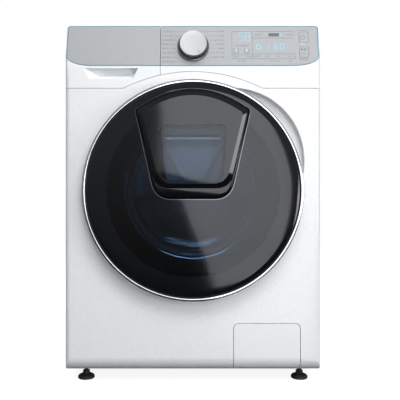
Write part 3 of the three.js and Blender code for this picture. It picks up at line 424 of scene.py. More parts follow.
def galvanisedSteel():
    # zinc-coated sheet: patchy crystalline spangle 8 mm across
    material, shader = newMaterial("galvanisedSteel", Metallic=0.85, Roughness=0.42)
    coords = addNode(material, "ShaderNodeTexCoord")
    cells = addNode(material, "ShaderNodeTexVoronoi", {"Vector": coords.outputs["Object"]}, Scale=120.0)
    ramp = addNode(material, "ShaderNodeValToRGB", {"Fac": cells.outputs["Color"]})
    ramp.color_ramp.elements[0].color = hexColor("#a3a8ac")
    ramp.color_ramp.elements[1].color = hexColor("#bfc3c6")
    join(material, ramp.outputs[0], shader.inputs["Base Color"])
    spread = addNode(material, "ShaderNodeMapRange", {"Value": cells.outputs["Distance"]})
    spread.inputs["To Min"].default_value = 0.34
    spread.inputs["To Max"].default_value = 0.52
    join(material, spread.outputs[0], shader.inputs["Roughness"])
    bump = addNode(material, "ShaderNodeBump", {"Height": cells.outputs["Distance"]},
                   Strength=0.04, Distance=0.1 * mm)
    join(material, bump.outputs[0], shader.inputs["Normal"])
    return material


def dieCast():
    # die-cast aluminium, grainy skin
    material, shader = newMaterial("dieCast", Metallic=0.9, Roughness=0.5)
    surfaceDetail(material, shader, 400, 0.3, 0.2 * mm, tone=("#8d9093", "#9da0a3"), rough=(0.42, 0.6))
    return material


def greyRubber():
    # EPDM bellows: matt with a dusty bloom
    material, shader = newMaterial("greyRubber", Roughness=0.7, IOR=1.5, Sheen_Weight=0.2)
    surfaceDetail(material, shader, 600, 0.2, 0.15 * mm, tone=("#62676c", "#6d7277"), rough=(0.6, 0.8))
    return material


def blackRubber():
    # black EPDM hose
    material, shader = newMaterial("blackRubber", Roughness=0.65, IOR=1.5)
    surfaceDetail(material, shader, 600, 0.2, 0.15 * mm, tone=("#17181a", "#222326"), rough=(0.55, 0.75))
    return material


def castConcrete():
    # cast concrete: sandy grain with small pits
    material, shader = newMaterial("castConcrete", Roughness=0.85, IOR=1.5)
    surfaceDetail(material, shader, 260, 0.6, 0.6 * mm, tone=("#98958c", "#b3b0a6"), rough=(0.8, 0.95))
    return material


def copperWire():
    # enamelled copper windings laid side by side, 1 mm apart
    material, shader = newMaterial("copperWire", Metallic=0.8, Roughness=0.35)
    surfaceDetail(material, shader, 700, 0.5, 0.3 * mm, tone=("#9a5a2c", "#c07b45"), stretch=(1, 0.1, 1))
    return material


def litIce(name, code, strength):
    # light-guide print behind the fascia: pale ice blue that glows a little
    material, shader = newMaterial(name, Roughness=0.4)
    surfaceDetail(material, shader, 200, 0.02, 0.05 * mm, tone=(code, code))
    shader.inputs["Emission Color"].default_value = hexColor(code)
    shader.inputs["Emission Strength"].default_value = strength
    return material


def printedInk(name, code):
    # screen-printed ink, dull and a hair above the surface
    material, shader = newMaterial(name, Roughness=0.55, IOR=1.5)
    surfaceDetail(material, shader, 800, 0.05, 0.02 * mm, tone=(code, code), rough=(0.5, 0.6))
    return material


white = enamelWhite()
whiteAbs = absWhite()
silver = silverFilm()
chrome = chromePlate()
darkChrome = smokedChrome()
smoked = smokedAcrylic()
glass = clearGlass()
gloss = glossBlack()
black = mouldedBlack()
grey = mouldedGrey()
pale = mouldedPale()
stainless = stainlessSteel()
zinc = galvanisedSteel()
cast = dieCast()
rubber = greyRubber()
# black rubber for the hose, also used as painted shade in the drum's holes and behind the door ring
blackRubberAndShade = blackRubber()
concrete = castConcrete()
copper = copperWire()
iceLine = litIce("iceLine", "#6ea5bb", 0.0)
iceGlow = litIce("iceGlow", "#9accda", 0.12)
inkDark = printedInk("inkDark", "#6d7073")
print("materials made")


# ---- camera, light and floor

studio = {
    "lens": 50.0, "distance": 1.3, "height": 0.422, "shiftX": 0.018, "shiftY": 0.009,
    "card": 2.3, "fill": 54.0, "side": 34.0, "top": 22.0, "back": 22.0, "drum": 0.4,
}


def addCamera():
    data = bpy.data.cameras.new("camera")
    data.lens = studio["lens"]
    data.sensor_width = 36.0
    data.shift_x = studio["shiftX"]
    data.shift_y = studio["shiftY"]
    camera = bpy.data.objects.new("camera", data)
    camera.location = (0, panelY - studio["distance"], studio["height"])
    camera.rotation_euler = (math.pi / 2, 0, 0)
    bpy.context.collection.objects.link(camera)
    bpy.context.scene.camera = camera


def addLight(name, place, target, width, height, power, seen=True, tint=(1, 1, 1)):
    data = bpy.data.lights.new(name, "AREA")
    data.color = tint
    data.shape = "RECTANGLE"
    data.size = width
    data.size_y = height
    data.energy = power
    light = bpy.data.objects.new(name, data)
    light.location = place
    light.rotation_euler = (Vector(target) - Vector(place)).to_track_quat("-Z", "Z").to_euler()
    light.visible_camera = False
    light.visible_glossy = seen
    bpy.context.collection.objects.link(light)


def addFloor():
    # white paper sweep, lit through so that only contact shadows show on it
    bm = bmesh.new()
    bmesh.ops.create_grid(bm, x_segments=8, y_segments=8, size=6)
    material, shader = newMaterial("paperFloor", Roughness=0.8)
    surfaceDetail(material, shader, 3, 0.02, 1 * mm, tone=("#8a8a8a", "#8e8e8e"))
    shader.inputs["Emission Color"].default_value = hexColor("#ffffff")
    shader.inputs["Emission Strength"].default_value = 0.88
    floor = makePiece(bm, "floor", material)
    floor.visible_glossy = False
    floor.visible_diffuse = False
    floor.visible_transmission = False


def addCard():
    # tall white card in front of the door, its left edge leaning; heights count from the drum's axis
    points = [(-0.3, 1.3), (-0.2, 0.55), (-0.2, 0.2), (-0.03, -0.3), (0.13, -0.66), (0.26, -1.1), (0.8, -1.1),
              (1.12, -0.6), (1.16, 0.2), (1.0, 0.95), (0.8, 1.3)]
    bm = outlinePrism([(x, axis.z + z) for x, z in points], "y", -2.602, -2.6)
    material, shader = newMaterial("cardWhite", Roughness=0.9)
    surfaceDetail(material, shader, 3, 0.01, 1 * mm, tone=("#f6f6f6", "#fbfbfb"))
    shader.inputs["Emission Color"].default_value = hexColor("#fafcff")
    shader.inputs["Emission Strength"].default_value = studio["card"]
    card = makePiece(bm, "softCard", material)
    card.visible_camera = False
    card.visible_shadow = False


def addWorld():
    # white to the eye; to surfaces a soft grey room that darkens below the horizon
    world = bpy.data.worlds.new("studio")
    world.use_nodes = True
    tree = world.node_tree
    room = tree.nodes["Background"]
    coords = tree.nodes.new("ShaderNodeTexCoord")
    split = tree.nodes.new("ShaderNodeSeparateXYZ")
    ramp = tree.nodes.new("ShaderNodeMapRange")
    ramp.inputs["From Min"].default_value = -0.35
    ramp.inputs["From Max"].default_value = 0.25
    ramp.inputs["To Min"].default_value = 0.05
    ramp.inputs["To Max"].default_value = 0.34
    tree.links.new(coords.outputs["Generated"], split.inputs[0])
    tree.links.new(split.outputs["Z"], ramp.inputs["Value"])
    tree.links.new(ramp.outputs["Result"], room.inputs["Strength"])
    room.inputs["Color"].default_value = (1, 1, 1, 1)
    bright = tree.nodes.new("ShaderNodeBackground")
    bright.inputs["Color"].default_value = (1, 1, 1, 1)
    bright.inputs["Strength"].default_value = 1.0
    path = tree.nodes.new("ShaderNodeLightPath")
    mix = tree.nodes.new("ShaderNodeMixShader")
    tree.links.new(path.outputs["Is Camera Ray"], mix.inputs[0])
    tree.links.new(room.outputs[0], mix.inputs[1])
    tree.links.new(bright.outputs[0], mix.inputs[2])
    tree.links.new(mix.outputs[0], tree.nodes["World Output"].inputs["Surface"])
    bpy.context.scene.world = world


addCamera()
addFloor()
addCard()
addWorld()
middle = (0, 0, 0.42)
addLight("frontFill", (0.4, -2.1, 2.8), middle, 2.4, 1.3, studio["fill"], seen=False)
addLight("sideSoft", (3.0, -2.1, 0.45), middle, 1.0, 1.8, studio["side"])
addLight("drumGlow", (0, 0.06, axis.z + 0.16), (0, 0.1, axis.z - 0.2), 0.16, 0.08, studio["drum"], seen=False,
         tint=(0.5, 0.72, 1))
addLight("topSoft", (0, 0.2, 2.6), middle, 2.6, 2.2, studio["top"], seen=False)
addLight("backSoft", (0.4, 2.6, 1.6), middle, 2.2, 1.6, studio["back"], seen=False)
bpy.context.scene.view_settings.view_transform = "Standard"
print("camera, light and floor made")


# ---- front skins: panel, console, drawer front and flap are cut from one moulded shape

skins = {
    "edgeRadius": 14 * mm, "rollRadius": 36 * mm, "gap": 1.2 * mm, "panelWall": 2 * mm, "consoleWall": 4 * mm,
    "far": 1.2,
}
bottomZ = panelLow.z
lean = math.tan(tilt)


def frontProfile(wall):
    far, radius = skins["far"], skins["rollRadius"]
    shift = wall / math.cos(tilt)
    knee = faceZ + (wall - shift) / lean
    top = topZ - wall
    topY = (top - faceZ) * lean + shift
    corner = 5 * mm
    points = [(far, bottomZ + wall)] + arc(radius, bottomZ + radius, radius - wall, 270, 180, 14)
    points += [(wall, knee - 6 * mm), (wall + 0.1 * mm, knee - 2 * mm), (wall + 1.0 * mm, knee + 3 * mm)]
    for i in range(6):
        t = i / 5
        start = Vector((topY - corner * lean, top - corner))
        knot = Vector((topY, top))
        end = Vector((topY + corner, top))
        points.append(tuple(start * (1 - t) ** 2 + knot * 2 * t * (1 - t) + end * t * t))
    points.append((far, top))
    return [(panelY + y, z) for y, z in points]


def frontPlan(wall):
    far, radius, side = skins["far"], skins["edgeRadius"], halfWidth
    points = [(side - wall, far), (-side + wall, far)]
    points += arc(-side + radius, radius, radius - wall, 180, 270, 8)
    points += arc(side - radius, radius, radius - wall, 270, 360, 8)
    return [(x, panelY + y) for x, y in points]


def frontBlock(wall, backY):
    far = skins["far"]
    shape = combine(outlinePrism(frontProfile(wall), "x", -far, far),
                    outlinePrism(frontPlan(wall), "z", -far, far), "INTERSECT")
    return combine(shape, block((-far, -far, -far), (far, backY, far)), "INTERSECT")


def seamOutline(shift):
    # the arched joint over the door, closed far below
    far = skins["far"]
    level = seamZ + shift
    radius = archRadius + shift
    centreZ = archTop - archRadius
    half = math.degrees(math.acos((level - centreZ) / radius))
    crown = arc(0, centreZ, radius, 90 - half, 90 + half, 48)
    return [(far, -far), (far, level)] + crown + [(-far, level), (-far, -far)]


def underSeam(bm, shift, operation):
    far = skins["far"]
    return combine(bm, outlinePrism(seamOutline(shift), "y", -far, far), operation)


def panelSkin(wall, inset, backY):
    return underSeam(frontBlock(wall, backY), -skins["gap"] / 2 - inset, "INTERSECT")


def consoleSkin(wall, inset, backY, x0, x1):
    far = skins["far"]
    upper = underSeam(frontBlock(wall, backY), skins["gap"] / 2 + inset, "DIFFERENCE")
    return combine(upper, block((x0 + inset, -far, -far), (x1 - inset, far, far)), "INTERSECT")


grip = {"angle": 38, "reach": 31 * mm, "depth": 22 * mm, "inner": 27 * mm}
dish = {"flat": 45 * mm, "hole": 65 * mm, "depth": 10 * mm}
flap = {
    "low": Vector(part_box("service_flap")[0]), "high": Vector(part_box("service_flap")[1]), "corner": 12 * mm,
}


def scoopShape(grow, low, high):
    radius = doorRadius * 2 / 3
    centre = doorRadius + grip["reach"] - radius
    angle = math.radians(grip["angle"])
    offset = (centre * math.cos(angle), 0, centre * math.sin(angle))
    bm = moved(cylinder(radius + grow, low, high, 128), offset)
    bm = combine(bm, cylinder(doorRadius - grip["inner"] - grow, -1, 1, 128))
    return combine(bm, turned(block((0, -1, 0), (1, 1, 1)), 7, "Y"), "INTERSECT")


def flapOutline(grow):
    low, high, corner = flap["low"], flap["high"], flap["corner"] + grow
    x0, x1, z0, z1 = low.x - grow, high.x + grow, low.z - grow, high.z + grow
    points = [(x0, z0), (x1, z0)] + arc(x1 - corner, z1 - corner, corner, 0, 90, 8)
    return points + arc(x0 + corner, z1 - corner, corner, 90, 180, 8)


def frontPanelMesh():
    wall = skins["panelWall"]
    panel = combine(panelSkin(0, 0, wrapY), panelSkin(wall, wall, skins["far"]))
    rimRadius = doorRadius - 37 * mm
    flat, hole, deep = doorRadius - dish["flat"], doorRadius - dish["hole"], dish["depth"]
    centre = (0, panelY, axis.z)
    panel = combine(panel, moved(cylinder(rimRadius, -1, 1, 144), centre))
    panel = combine(panel, moved(scoopShape(0, -5 * mm, 1), centre))
    bowl = spinProfile([
        (rimRadius - 0.3 * mm, 0), (rimRadius - 2 * mm, 1.2 * mm), (flat + 1 * mm, deep - 1.5 * mm),
        (flat - 1 * mm, deep),
        (hole + 1 * mm, deep), (hole, deep + 1 * mm), (hole, deep + wall), (flat, deep + wall),
        (rimRadius + 1 * mm, wall), (rimRadius + 1 * mm, 0.02 * mm),
    ], 144, closed=True)
    panel = combine(panel, moved(bowl, centre), "UNION")
    cup = combine(scoopShape(wall, 0.02 * mm, grip["depth"] + wall), scoopShape(0, -5 * mm, grip["depth"]))
    panel = combine(panel, moved(cup, centre), "UNION")
    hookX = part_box("door_hook")[0].x
    slot = block((hookX - 4.5 * mm, -1, axis.z - 10 * mm), (hookX + 13.5 * mm, 1, axis.z + 10 * mm))
    panel = combine(panel, slot)
    return combine(panel, outlinePrism(flapOutline(skins["gap"]), "y", -1, panelY + 36 * mm))


def addFrontPanel():
    panel = makePiece(frontPanelMesh(), "frontPanel", white, bevel=0.7 * mm)
    placePiece(panel, "cabinet", "white_enamel", "front_panel")


def addServiceFlap():
    wall = skins["panelWall"]
    skin = combine(panelSkin(0, 0, wrapY), panelSkin(wall, wall, skins["far"]))
    door = combine(skin, outlinePrism(flapOutline(0), "y", -1, panelY + 36 * mm), "INTERSECT")
    ribs = [block((x, panelY + wall - 0.2 * mm, flap["low"].z + 40 * mm),
                  (x + 2 * mm, panelY + 7 * mm, flap["high"].z - 12 * mm))
            for x in (flap["low"].x + 20 * mm, flap["high"].x - 22 * mm)]
    for rib in ribs:
        door = combine(door, rib, "UNION")
    piece = makePiece(door, "serviceFlap", whiteAbs, bevel=0.7 * mm)
    placePiece(piece, "flap", "white_plastic", "service_flap")


addFrontPanel()
addServiceFlap()
print("front panel and flap made")


# ---- console, drawer front and silver faces

face = {
    "foot": 1.5 * mm, "lowCorner": (60 * mm, 22 * mm), "topCorner": 5 * mm, "margin": 5 * mm,
    "plate": 1.8 * mm,
    "trimGap": 0.35 * mm, "trimWidth": 1.8 * mm, "recess": 2.2 * mm, "joint": 0.8 * mm,
}
knob = {"x": 1 * mm, "up": 47.5 * mm, "bezel": 37.5 * mm, "cap": 32 * mm, "bezelRise": 6 * mm,
        "capRise": 20 * mm, "hole": 4 * mm, "flutes": 72}
keys = {"x": halfWidth - 38 * mm, "size": (21 * mm, 26 * mm), "corner": 3 * mm, "gap": 0.5 * mm,
        "ups": {"power_button": 72 * mm, "start_button": 34 * mm}}
pocket = {"top": (-258 * mm, -128 * mm), "foot": (-243 * mm, -140 * mm), "drop": 6 * mm, "tall": 25.5 * mm,
          "depth": 23 * mm, "wall": 2.5 * mm}


def leaned(bm):
    bmesh.ops.transform(bm, matrix=leanFrame, verts=bm.verts)
    return bm


def faceOutline(side, grow, reach=0.0):
    # outline of one silver face, (x, up); reach carries it past the joint between the two
    sign = 1 if side == "console" else -1
    low, high = face["foot"] - grow, faceLength + grow
    wide, tall = [size + grow for size in face["lowCorner"]]
    corner = face["topCorner"] + grow
    end = halfWidth - face["margin"] + grow
    start = sign * splitX + face["joint"] - reach
    points = [(start, low)] + arc(end - wide, low + tall, wide, 270, 360, 16, tall)
    points += arc(end - corner, high - corner, corner, 0, 90, 6) + [(start, high)]
    return [(sign * x, z) for x, z in points]


def roundedRect(x0, x1, z0, z1, radius, steps=5):
    points = []
    for x, z, start in ((x1, z0, 270), (x1, z1, 0), (x0, z1, 90), (x0, z0, 180)):
        sideX = -radius if x == x1 else radius
        sideZ = -radius if z == z1 else radius
        points += arc(x + sideX, z + sideZ, radius, start, start + 90, steps)
    return points


def keyOutline(up, grow):
    wide, tall = [size / 2 + grow for size in keys["size"]]
    return roundedRect(keys["x"] - wide, keys["x"] + wide, up - tall, up + tall, keys["corner"] + grow)


def recessMesh(side):
    grow = face["trimGap"] * 2 + face["trimWidth"]
    return leaned(outlinePrism(faceOutline(side, grow, 5 * mm), "y", -0.2, face["recess"]))


def pocketMesh(grow):
    # the finger pocket: its floor and ends slope in from the mouth, its top runs straight back
    top = faceZ - pocket["drop"] + grow
    foot = faceZ - pocket["drop"] - pocket["tall"] - grow
    mouth = [(pocket["foot"][0] - grow, foot), (pocket["foot"][1] + grow, foot),
             (pocket["top"][1] + grow, top), (pocket["top"][0] - grow, top)]
    bm = outlinePrism(mouth, "y", panelY - 0.2 * mm, panelY + pocket["depth"] + grow)
    middleX = sum(pocket["top"]) / 2
    for vert in bm.verts:
        if vert.co.y > panelY + 1 * mm:
            vert.co.x += 34 * mm if vert.co.x < middleX else -9 * mm
            if vert.co.z < top - 1 * mm:
                vert.co.z += 15 * mm
    return bm


def addDrawerFront():
    wall, far = skins["consoleWall"], skins["far"]
    x1 = splitX - skins["gap"] / 2
    front = combine(consoleSkin(0, 0, wrapY, -far, x1), consoleSkin(wall, wall, far, -far, x1))
    front = combine(front, recessMesh("drawer"))
    front = combine(front, pocketMesh(0))
    beforePanel = block((-far, -far, -far), (far, panelY + 0.3 * mm, far))
    front = combine(front, combine(pocketMesh(pocket["wall"]), beforePanel), "UNION")
    front = combine(front, pocketMesh(0))
    piece = makePiece(front, "drawerFront", whiteAbs, bevel=0.7 * mm)
    placePiece(piece, "drawer", "white_plastic", "drawer_front")


def addConsoleBody():
    wall, far = skins["consoleWall"], skins["far"]
    x0 = splitX + skins["gap"] / 2
    body = combine(consoleSkin(0, 0, wrapY, x0, far), consoleSkin(wall, wall, far, x0, far))
    body = combine(body, recessMesh("console"))
    body = combine(body, leaned(moved(cylinder(knob["hole"], -0.2, 0.2, 24), (knob["x"], 0, knob["up"]))))
    for up in keys["ups"].values():
        body = combine(body, leaned(outlinePrism(keyOutline(up, keys["gap"] + 0.2 * mm), "y", -0.2, 0.2)))
    piece = makePiece(body, "consoleBody", whiteAbs, bevel=0.7 * mm)
    placePiece(piece, "cabinet", "white_plastic", "console_body")


def addFace(side, body, name, node):
    plate = outlinePrism(faceOutline(side, 0), "y", 0, face["plate"])
    if side == "console":
        plate = combine(plate, moved(cylinder(knob["hole"], -1, 1, 24), (knob["x"], 0, knob["up"])))
        for up in keys["ups"].values():
            plate = combine(plate, outlinePrism(keyOutline(up, keys["gap"]), "y", -1, 1))
    placePiece(makePiece(leaned(plate), name, silver, bevel=0.35 * mm), body, "silver_face", node)
    outer = outlinePrism(faceOutline(side, face["trimGap"] + face["trimWidth"]), "y", 0.1 * mm, 2.1 * mm)
    inner = outlinePrism(faceOutline(side, face["trimGap"], 5 * mm), "y", -1, 1)
    trim = makePiece(leaned(combine(outer, inner)), name + "Trim", iceLine, bevel=0.3 * mm)
    placePiece(trim, body, "silver_face")


def addKnob():
    place = leanFrame @ Matrix.Translation((knob["x"], 0, knob["up"]))
    bezel, cap, rise, high = knob["bezel"], knob["cap"], knob["bezelRise"], knob["capRise"]
    ring = spinProfile([
        (bezel, -0.1 * mm), (bezel, 2.5 * mm - rise), (bezel - 0.7 * mm, 0.6 * mm - rise),
        (bezel - 2 * mm, -rise),
        (bezel - 3.6 * mm, 0.3 * mm - rise), (cap + 0.8 * mm, 1.2 * mm - rise), (cap + 0.8 * mm, -0.1 * mm),
    ], 96, closed=True)
    placePiece(makePiece(ring, "knobBezel", darkChrome, place), "cabinet", "dark_chrome", "knob_bezel")
    grip = spinProfile([
        (0, -1 * mm), (cap - 0.6 * mm, -1 * mm), (cap, -2 * mm), (cap - 0.2 * mm, 3.2 * mm - high),
        (cap - 1.4 * mm, 1.6 * mm - high), (0, 1.6 * mm - high),
    ], knob["flutes"] * 2)
    for vert in grip.verts:
        step = round(math.atan2(vert.co.z, vert.co.x) / math.pi * knob["flutes"])
        if step % 2 and math.hypot(vert.co.x, vert.co.z) > cap - 1 * mm:
            vert.co.x *= 0.988
            vert.co.z *= 0.988
    placePiece(makePiece(grip, "knobGrip", darkChrome, place, angle=20), "dial", "dark_chrome", "knob_cap")
    disc = spinProfile([
        (0, 1.7 * mm - high), (cap - 1.2 * mm, 1.7 * mm - high), (cap - 0.7 * mm, 1.2 * mm - high),
        (cap - 1.0 * mm, 0.4 * mm - high), (cap - 1.8 * mm, -high), (cap - 2.6 * mm, 0.3 * mm - high),
        (0, 0.5 * mm - high),
    ], 96)
    placePiece(makePiece(disc, "knobDisc", spunAluminium(place), place, angle=40), "dial", "knob_metal")
    pointer = block((-0.6 * mm, 0.2 * mm - high, 22 * mm), (0.6 * mm, 1 * mm - high, 28.5 * mm))
    pointer = turned(pointer, 150, "Y")
    placePiece(makePiece(pointer, "knobPointer", inkDark, place, bevel=0.15 * mm), "dial", "knob_metal")


addDrawerFront()
addConsoleBody()
addFace("drawer", "drawer", "drawerFace", "drawer_face")
addFace("console", "cabinet", "consoleFace", "console_face")
addKnob()
print("console, drawer front and knob made")


# ---- prints and lamps on the silver face; heights run up the face

prints = {
    "thick": 0.08 * mm, "line": 0.7 * mm, "fine": 0.45 * mm, "label": 5.2 * mm, "small": 4.2 * mm,
    "left": (-73 * mm, [("COTTON", 86.3), ("COLOURS", 75.2), ("SYNTHETICS", 64.1), ("MIXED 30", 53.8),
                        ("WOOL", 43.4), ("DELICATES", 32.0), ("BEDDING", 20.7), ("DRUM CLEAN", 9.8)]),
    "right": (74 * mm, [("RINSE", 86.6), ("SPIN", 75.5), ("QUICK 15", 64.6), ("SPORTS", 53.7),
                        ("DENIM", 42.9), ("OUTDOOR", 32.6), ("BABY CARE", 21.0)]),
}


def word(text, size, x, up, side="LEFT"):
    curve = bpy.data.curves.new("word", "FONT")
    curve.body = text
    curve.size = size
    curve.align_x = side
    curve.align_y = "CENTER"
    curve.resolution_u = 1
    curve.extrude = prints["thick"] / 2
    holder = bpy.data.objects.new("word", curve)
    bpy.context.collection.objects.link(holder)
    bpy.context.view_layer.update()
    mesh = bpy.data.meshes.new_from_object(holder.evaluated_get(bpy.context.evaluated_depsgraph_get()))
    bm = bmesh.new()
    bm.from_mesh(mesh)
    bpy.data.objects.remove(holder)
    bpy.data.curves.remove(curve)
    bpy.data.meshes.remove(mesh)
    return moved(turned(bm, 90, "X"), (x, -prints["thick"] / 2, up))


def bar(x0, x1, up0, up1):
    return block((x0, -prints["thick"], up0), (x1, 0.02 * mm, up1))


def lineAt(x0, x1, up, thick=None):
    half = (thick or prints["line"]) / 2
    return bar(x0, x1, up - half, up + half)


def frameBox(x0, x1, up0, up1):
    line, thick = prints["line"], prints["thick"]
    outer = outlinePrism(roundedRect(x0, x1, up0, up1, 2 * mm, 3), "y", -thick, 0.02 * mm)
    inner = outlinePrism(roundedRect(x0 + line, x1 - line, up0 + line, up1 - line, 1.4 * mm, 3), "y", -1, 1)
    return combine(outer, inner)


def ringMark(x, up, radius, thick, start=0, stop=360):
    # a flat ring or part of one, drawn from upright and counted anticlockwise
    steps = max(6, int((stop - start) / 15))
    outer = arc(x, up, radius, start + 90, stop + 90, steps)
    inner = arc(x, up, radius - thick, start + 90, stop + 90, steps)
    if stop - start == 360:
        ring = outlinePrism(outer[:-1], "y", -prints["thick"], 0.02 * mm)
        return combine(ring, outlinePrism(inner[:-1], "y", -1, 1))
    return outlinePrism(outer + inner[::-1], "y", -prints["thick"], 0.02 * mm)


def digit(number, x, up, wide, tall):
    # a seven-bar digit with its lower left corner at (x, up)
    thick = wide * 0.2
    bars = {
        "a": (0, wide, tall - thick, tall), "g": (0, wide, (tall - thick) / 2, (tall + thick) / 2),
        "d": (0, wide, 0, thick),
        "b": (wide - thick, wide, tall / 2, tall), "c": (wide - thick, wide, 0, tall / 2),
        "f": (0, thick, tall / 2, tall), "e": (0, thick, 0, tall / 2),
    }
    lit = {
        "0": "abcdef", "1": "bc", "2": "abged", "4": "fgbc", "5": "afgcd", "6": "afgedc", "8": "abcdefg",
        "-": "g",
    }
    inset = thick * 0.12
    shapes = []
    for segment in lit[number]:
        left, right, foot, top = bars[segment]
        shapes.append(bar(x + left + inset, x + right - inset, up + foot + inset, up + top - inset))
    return shapes


def addProgrammePrints():
    shapes = []
    for name, sign in (("left", -1), ("right", 1)):
        edge, words = prints[name]
        for text, height in words:
            up = height * mm
            label = word(text, prints["label"], edge, up, "LEFT" if sign < 0 else "RIGHT")
            end = max(sign * -v.co.x for v in label.verts)
            shapes.append(label)
            gap = abs(up - knob["up"])
            reach = knob["bezel"] + 3.5 * mm
            ringSide = math.sqrt(max(reach ** 2 - gap ** 2, (9 * mm) ** 2)) - sign * -knob["x"]
            if -end - 2 * mm > ringSide:
                x0, x1 = sorted((sign * ringSide, sign * (-end - 2 * mm)))
                shapes.append(lineAt(x0, x1, up, prints["fine"]))
    placePiece(makePiece(leaned(merged(*shapes)), "programmeNames", inkDark), "cabinet", "silver_face")


def addDisplayPrints():
    small = prints["small"]
    dark = [
        frameBox(92 * mm, 141 * mm, 17.3 * mm, 86.8 * mm), lineAt(92.5 * mm, 140.5 * mm, 28.4 * mm),
        word("ADD GARMENT", small * 1.1, 116.5 * mm, 50 * mm, "CENTER"),
        word("DELAY", small, 96 * mm, 23 * mm), word("RINSE", small, 137 * mm, 23 * mm, "RIGHT"),
        lineAt(143 * mm, 238 * mm, 86.8 * mm), lineAt(143 * mm, 236 * mm, 70 * mm),
        word("PREWASH", small, 145.5 * mm, 78 * mm), bar(179 * mm, 204 * mm, 74 * mm, 82.5 * mm),
        word("INTENSIVE", small * 1.05, 238 * mm, 78 * mm, "RIGHT"),
        frameBox(143 * mm, 242 * mm, 17 * mm, 30 * mm),
        word("TEMP", small, 147 * mm, 23.5 * mm), word("RINSE", small, 170 * mm, 23.5 * mm),
        word("SPIN", small, 197 * mm, 23.5 * mm), word("OPTION", small, 238 * mm, 23.5 * mm, "RIGHT"),
        lineAt(249 * mm, 270 * mm, 88.6 * mm), lineAt(249 * mm, 270 * mm, 17.3 * mm),
        word("HOLD 3 SEC", small * 0.85, 260.5 * mm, 14 * mm, "CENTER"),
        lineAt(101 * mm, 104 * mm, 31.2 * mm), lineAt(125 * mm, 129 * mm, 31.2 * mm),
    ]
    for x in (102, 127):
        dark += [bar((x - 5.5) * mm, (x - 4.5) * mm, 33 * mm, 44 * mm),
                 bar((x + 4.5) * mm, (x + 5.5) * mm, 33 * mm, 44 * mm),
                 lineAt((x - 7) * mm, (x + 7) * mm, 32.6 * mm)]
    for x in (109, 116, 123, 185, 193, 201, 229):
        dark.append(ringMark(x * mm, 12.4 * mm, 2.1 * mm, 0.6 * mm))
    placePiece(makePiece(leaned(merged(*dark)), "displayPrints", inkDark), "cabinet", "silver_face")
    lit = digit("-", 95 * mm, 68 * mm, 7 * mm, 9 * mm)
    lit += digit("5", 110 * mm, 62 * mm, 11 * mm, 23 * mm) + digit("8", 124 * mm, 62 * mm, 11 * mm, 23 * mm)
    lit += [ringMark(102 * mm, 38 * mm, 3.4 * mm, 2.6 * mm), ringMark(127 * mm, 38 * mm, 3.4 * mm, 2.6 * mm)]
    lit += [ringMark(155 * mm, 47 * mm, 6.2 * mm, 2.2 * mm), bar(149 * mm, 154 * mm, 52 * mm, 54 * mm)]
    lit += digit("1", 171 * mm, 40 * mm, 9 * mm, 15 * mm)
    lit += digit("6", 191 * mm, 40 * mm, 11 * mm, 15 * mm) + digit("0", 205 * mm, 40 * mm, 11 * mm, 15 * mm)
    lit += [bar(206 * mm, 209 * mm, 75 * mm, 81 * mm), bar(143.5 * mm, 145 * mm, 75 * mm, 81 * mm)]
    lit += [bar(254 * mm, 265 * mm, 53.6 * mm, 57.2 * mm)]
    placePiece(makePiece(leaned(merged(*lit)), "displayDigits", iceGlow), "cabinet", "silver_face")


def addKeys():
    for node, body in (("power_button", "power_key"), ("start_button", "start_key")):
        up = keys["ups"][node]
        key = makePiece(leaned(outlinePrism(keyOutline(up, 0), "y", -0.2 * mm, 9 * mm)), node + "Cap", silver,
                        bevel=0.6 * mm, segments=3)
        placePiece(key, body, "silver_face", node)
    x = keys["x"]
    power = [ringMark(x - 3 * mm, 71.8 * mm, 5.5 * mm, 0.9 * mm, 35, 325),
             bar(x - 3.5 * mm, x - 2.5 * mm, 72 * mm, 78 * mm)]
    corners = [(x - 6 * mm, 37.5 * mm), (x - 1 * mm, 40.8 * mm), (x - 6 * mm, 44 * mm)]
    play = outlinePrism(corners, "y", -prints["thick"], 0.02 * mm)
    start = [play, bar(x + 0.5 * mm, x + 1.7 * mm, 37.5 * mm, 44 * mm),
             bar(x + 3.2 * mm, x + 4.4 * mm, 37.5 * mm, 44 * mm),
             word("START", prints["small"] * 0.85, x - 1 * mm, 30 * mm, "CENTER")]
    for name, shapes, body in (("powerMark", power, "power_key"), ("startMark", start, "start_key")):
        mark = leaned(moved(merged(*shapes), (0, -0.2 * mm, 0)))
        placePiece(makePiece(mark, name, inkDark), body, "silver_face")


addProgrammePrints()
addDisplayPrints()
addKeys()
print("prints and keys made")


# ---- door: chrome ring, smoked dome, inner frame and glass bowl; y counts from the panel plane

door = {
    "ringInner": 247 * mm, "ringFront": -33 * mm, "ringBack": -12 * mm, "edge": -30.5 * mm, "rise": 13 * mm,
    "wall": 3 * mm, "cover": 246.6 * mm, "back": -8 * mm, "hingeX": -238 * mm, "notch": 33 * mm,
    "notchFront": -27 * mm,
    "collar": 162.4 * mm, "border": 197.3 * mm, "steps": 160,
}
bowl = {"radius": 162 * mm, "depth": 112 * mm, "wall": 4 * mm}
hatch = {
    "topHalf": 124 * mm, "topZ": 182 * mm, "apexZ": 223 * mm, "footHalf": 83 * mm, "footZ": 5 * mm,
    "surroundFoot": -12 * mm, "bevel": 8.7 * mm, "front": -57 * mm, "surroundFront": -52 * mm,
    "ledge": -41 * mm,
    "gap": 0.8 * mm, "corner": 30 * mm, "facet": 10 * mm, "print": 7 * mm, "bend": 40 * mm,
    "fall": 4 * mm, "ductTop": (70 * mm, 140 * mm), "ductFoot": (60 * mm, 22 * mm), "ductWall": 2.5 * mm,
}


def notchBlock(reach):
    far = skins["far"]
    return block((-far, door["notchFront"], -door["notch"]), (door["hingeX"] + reach, far, door["notch"]))


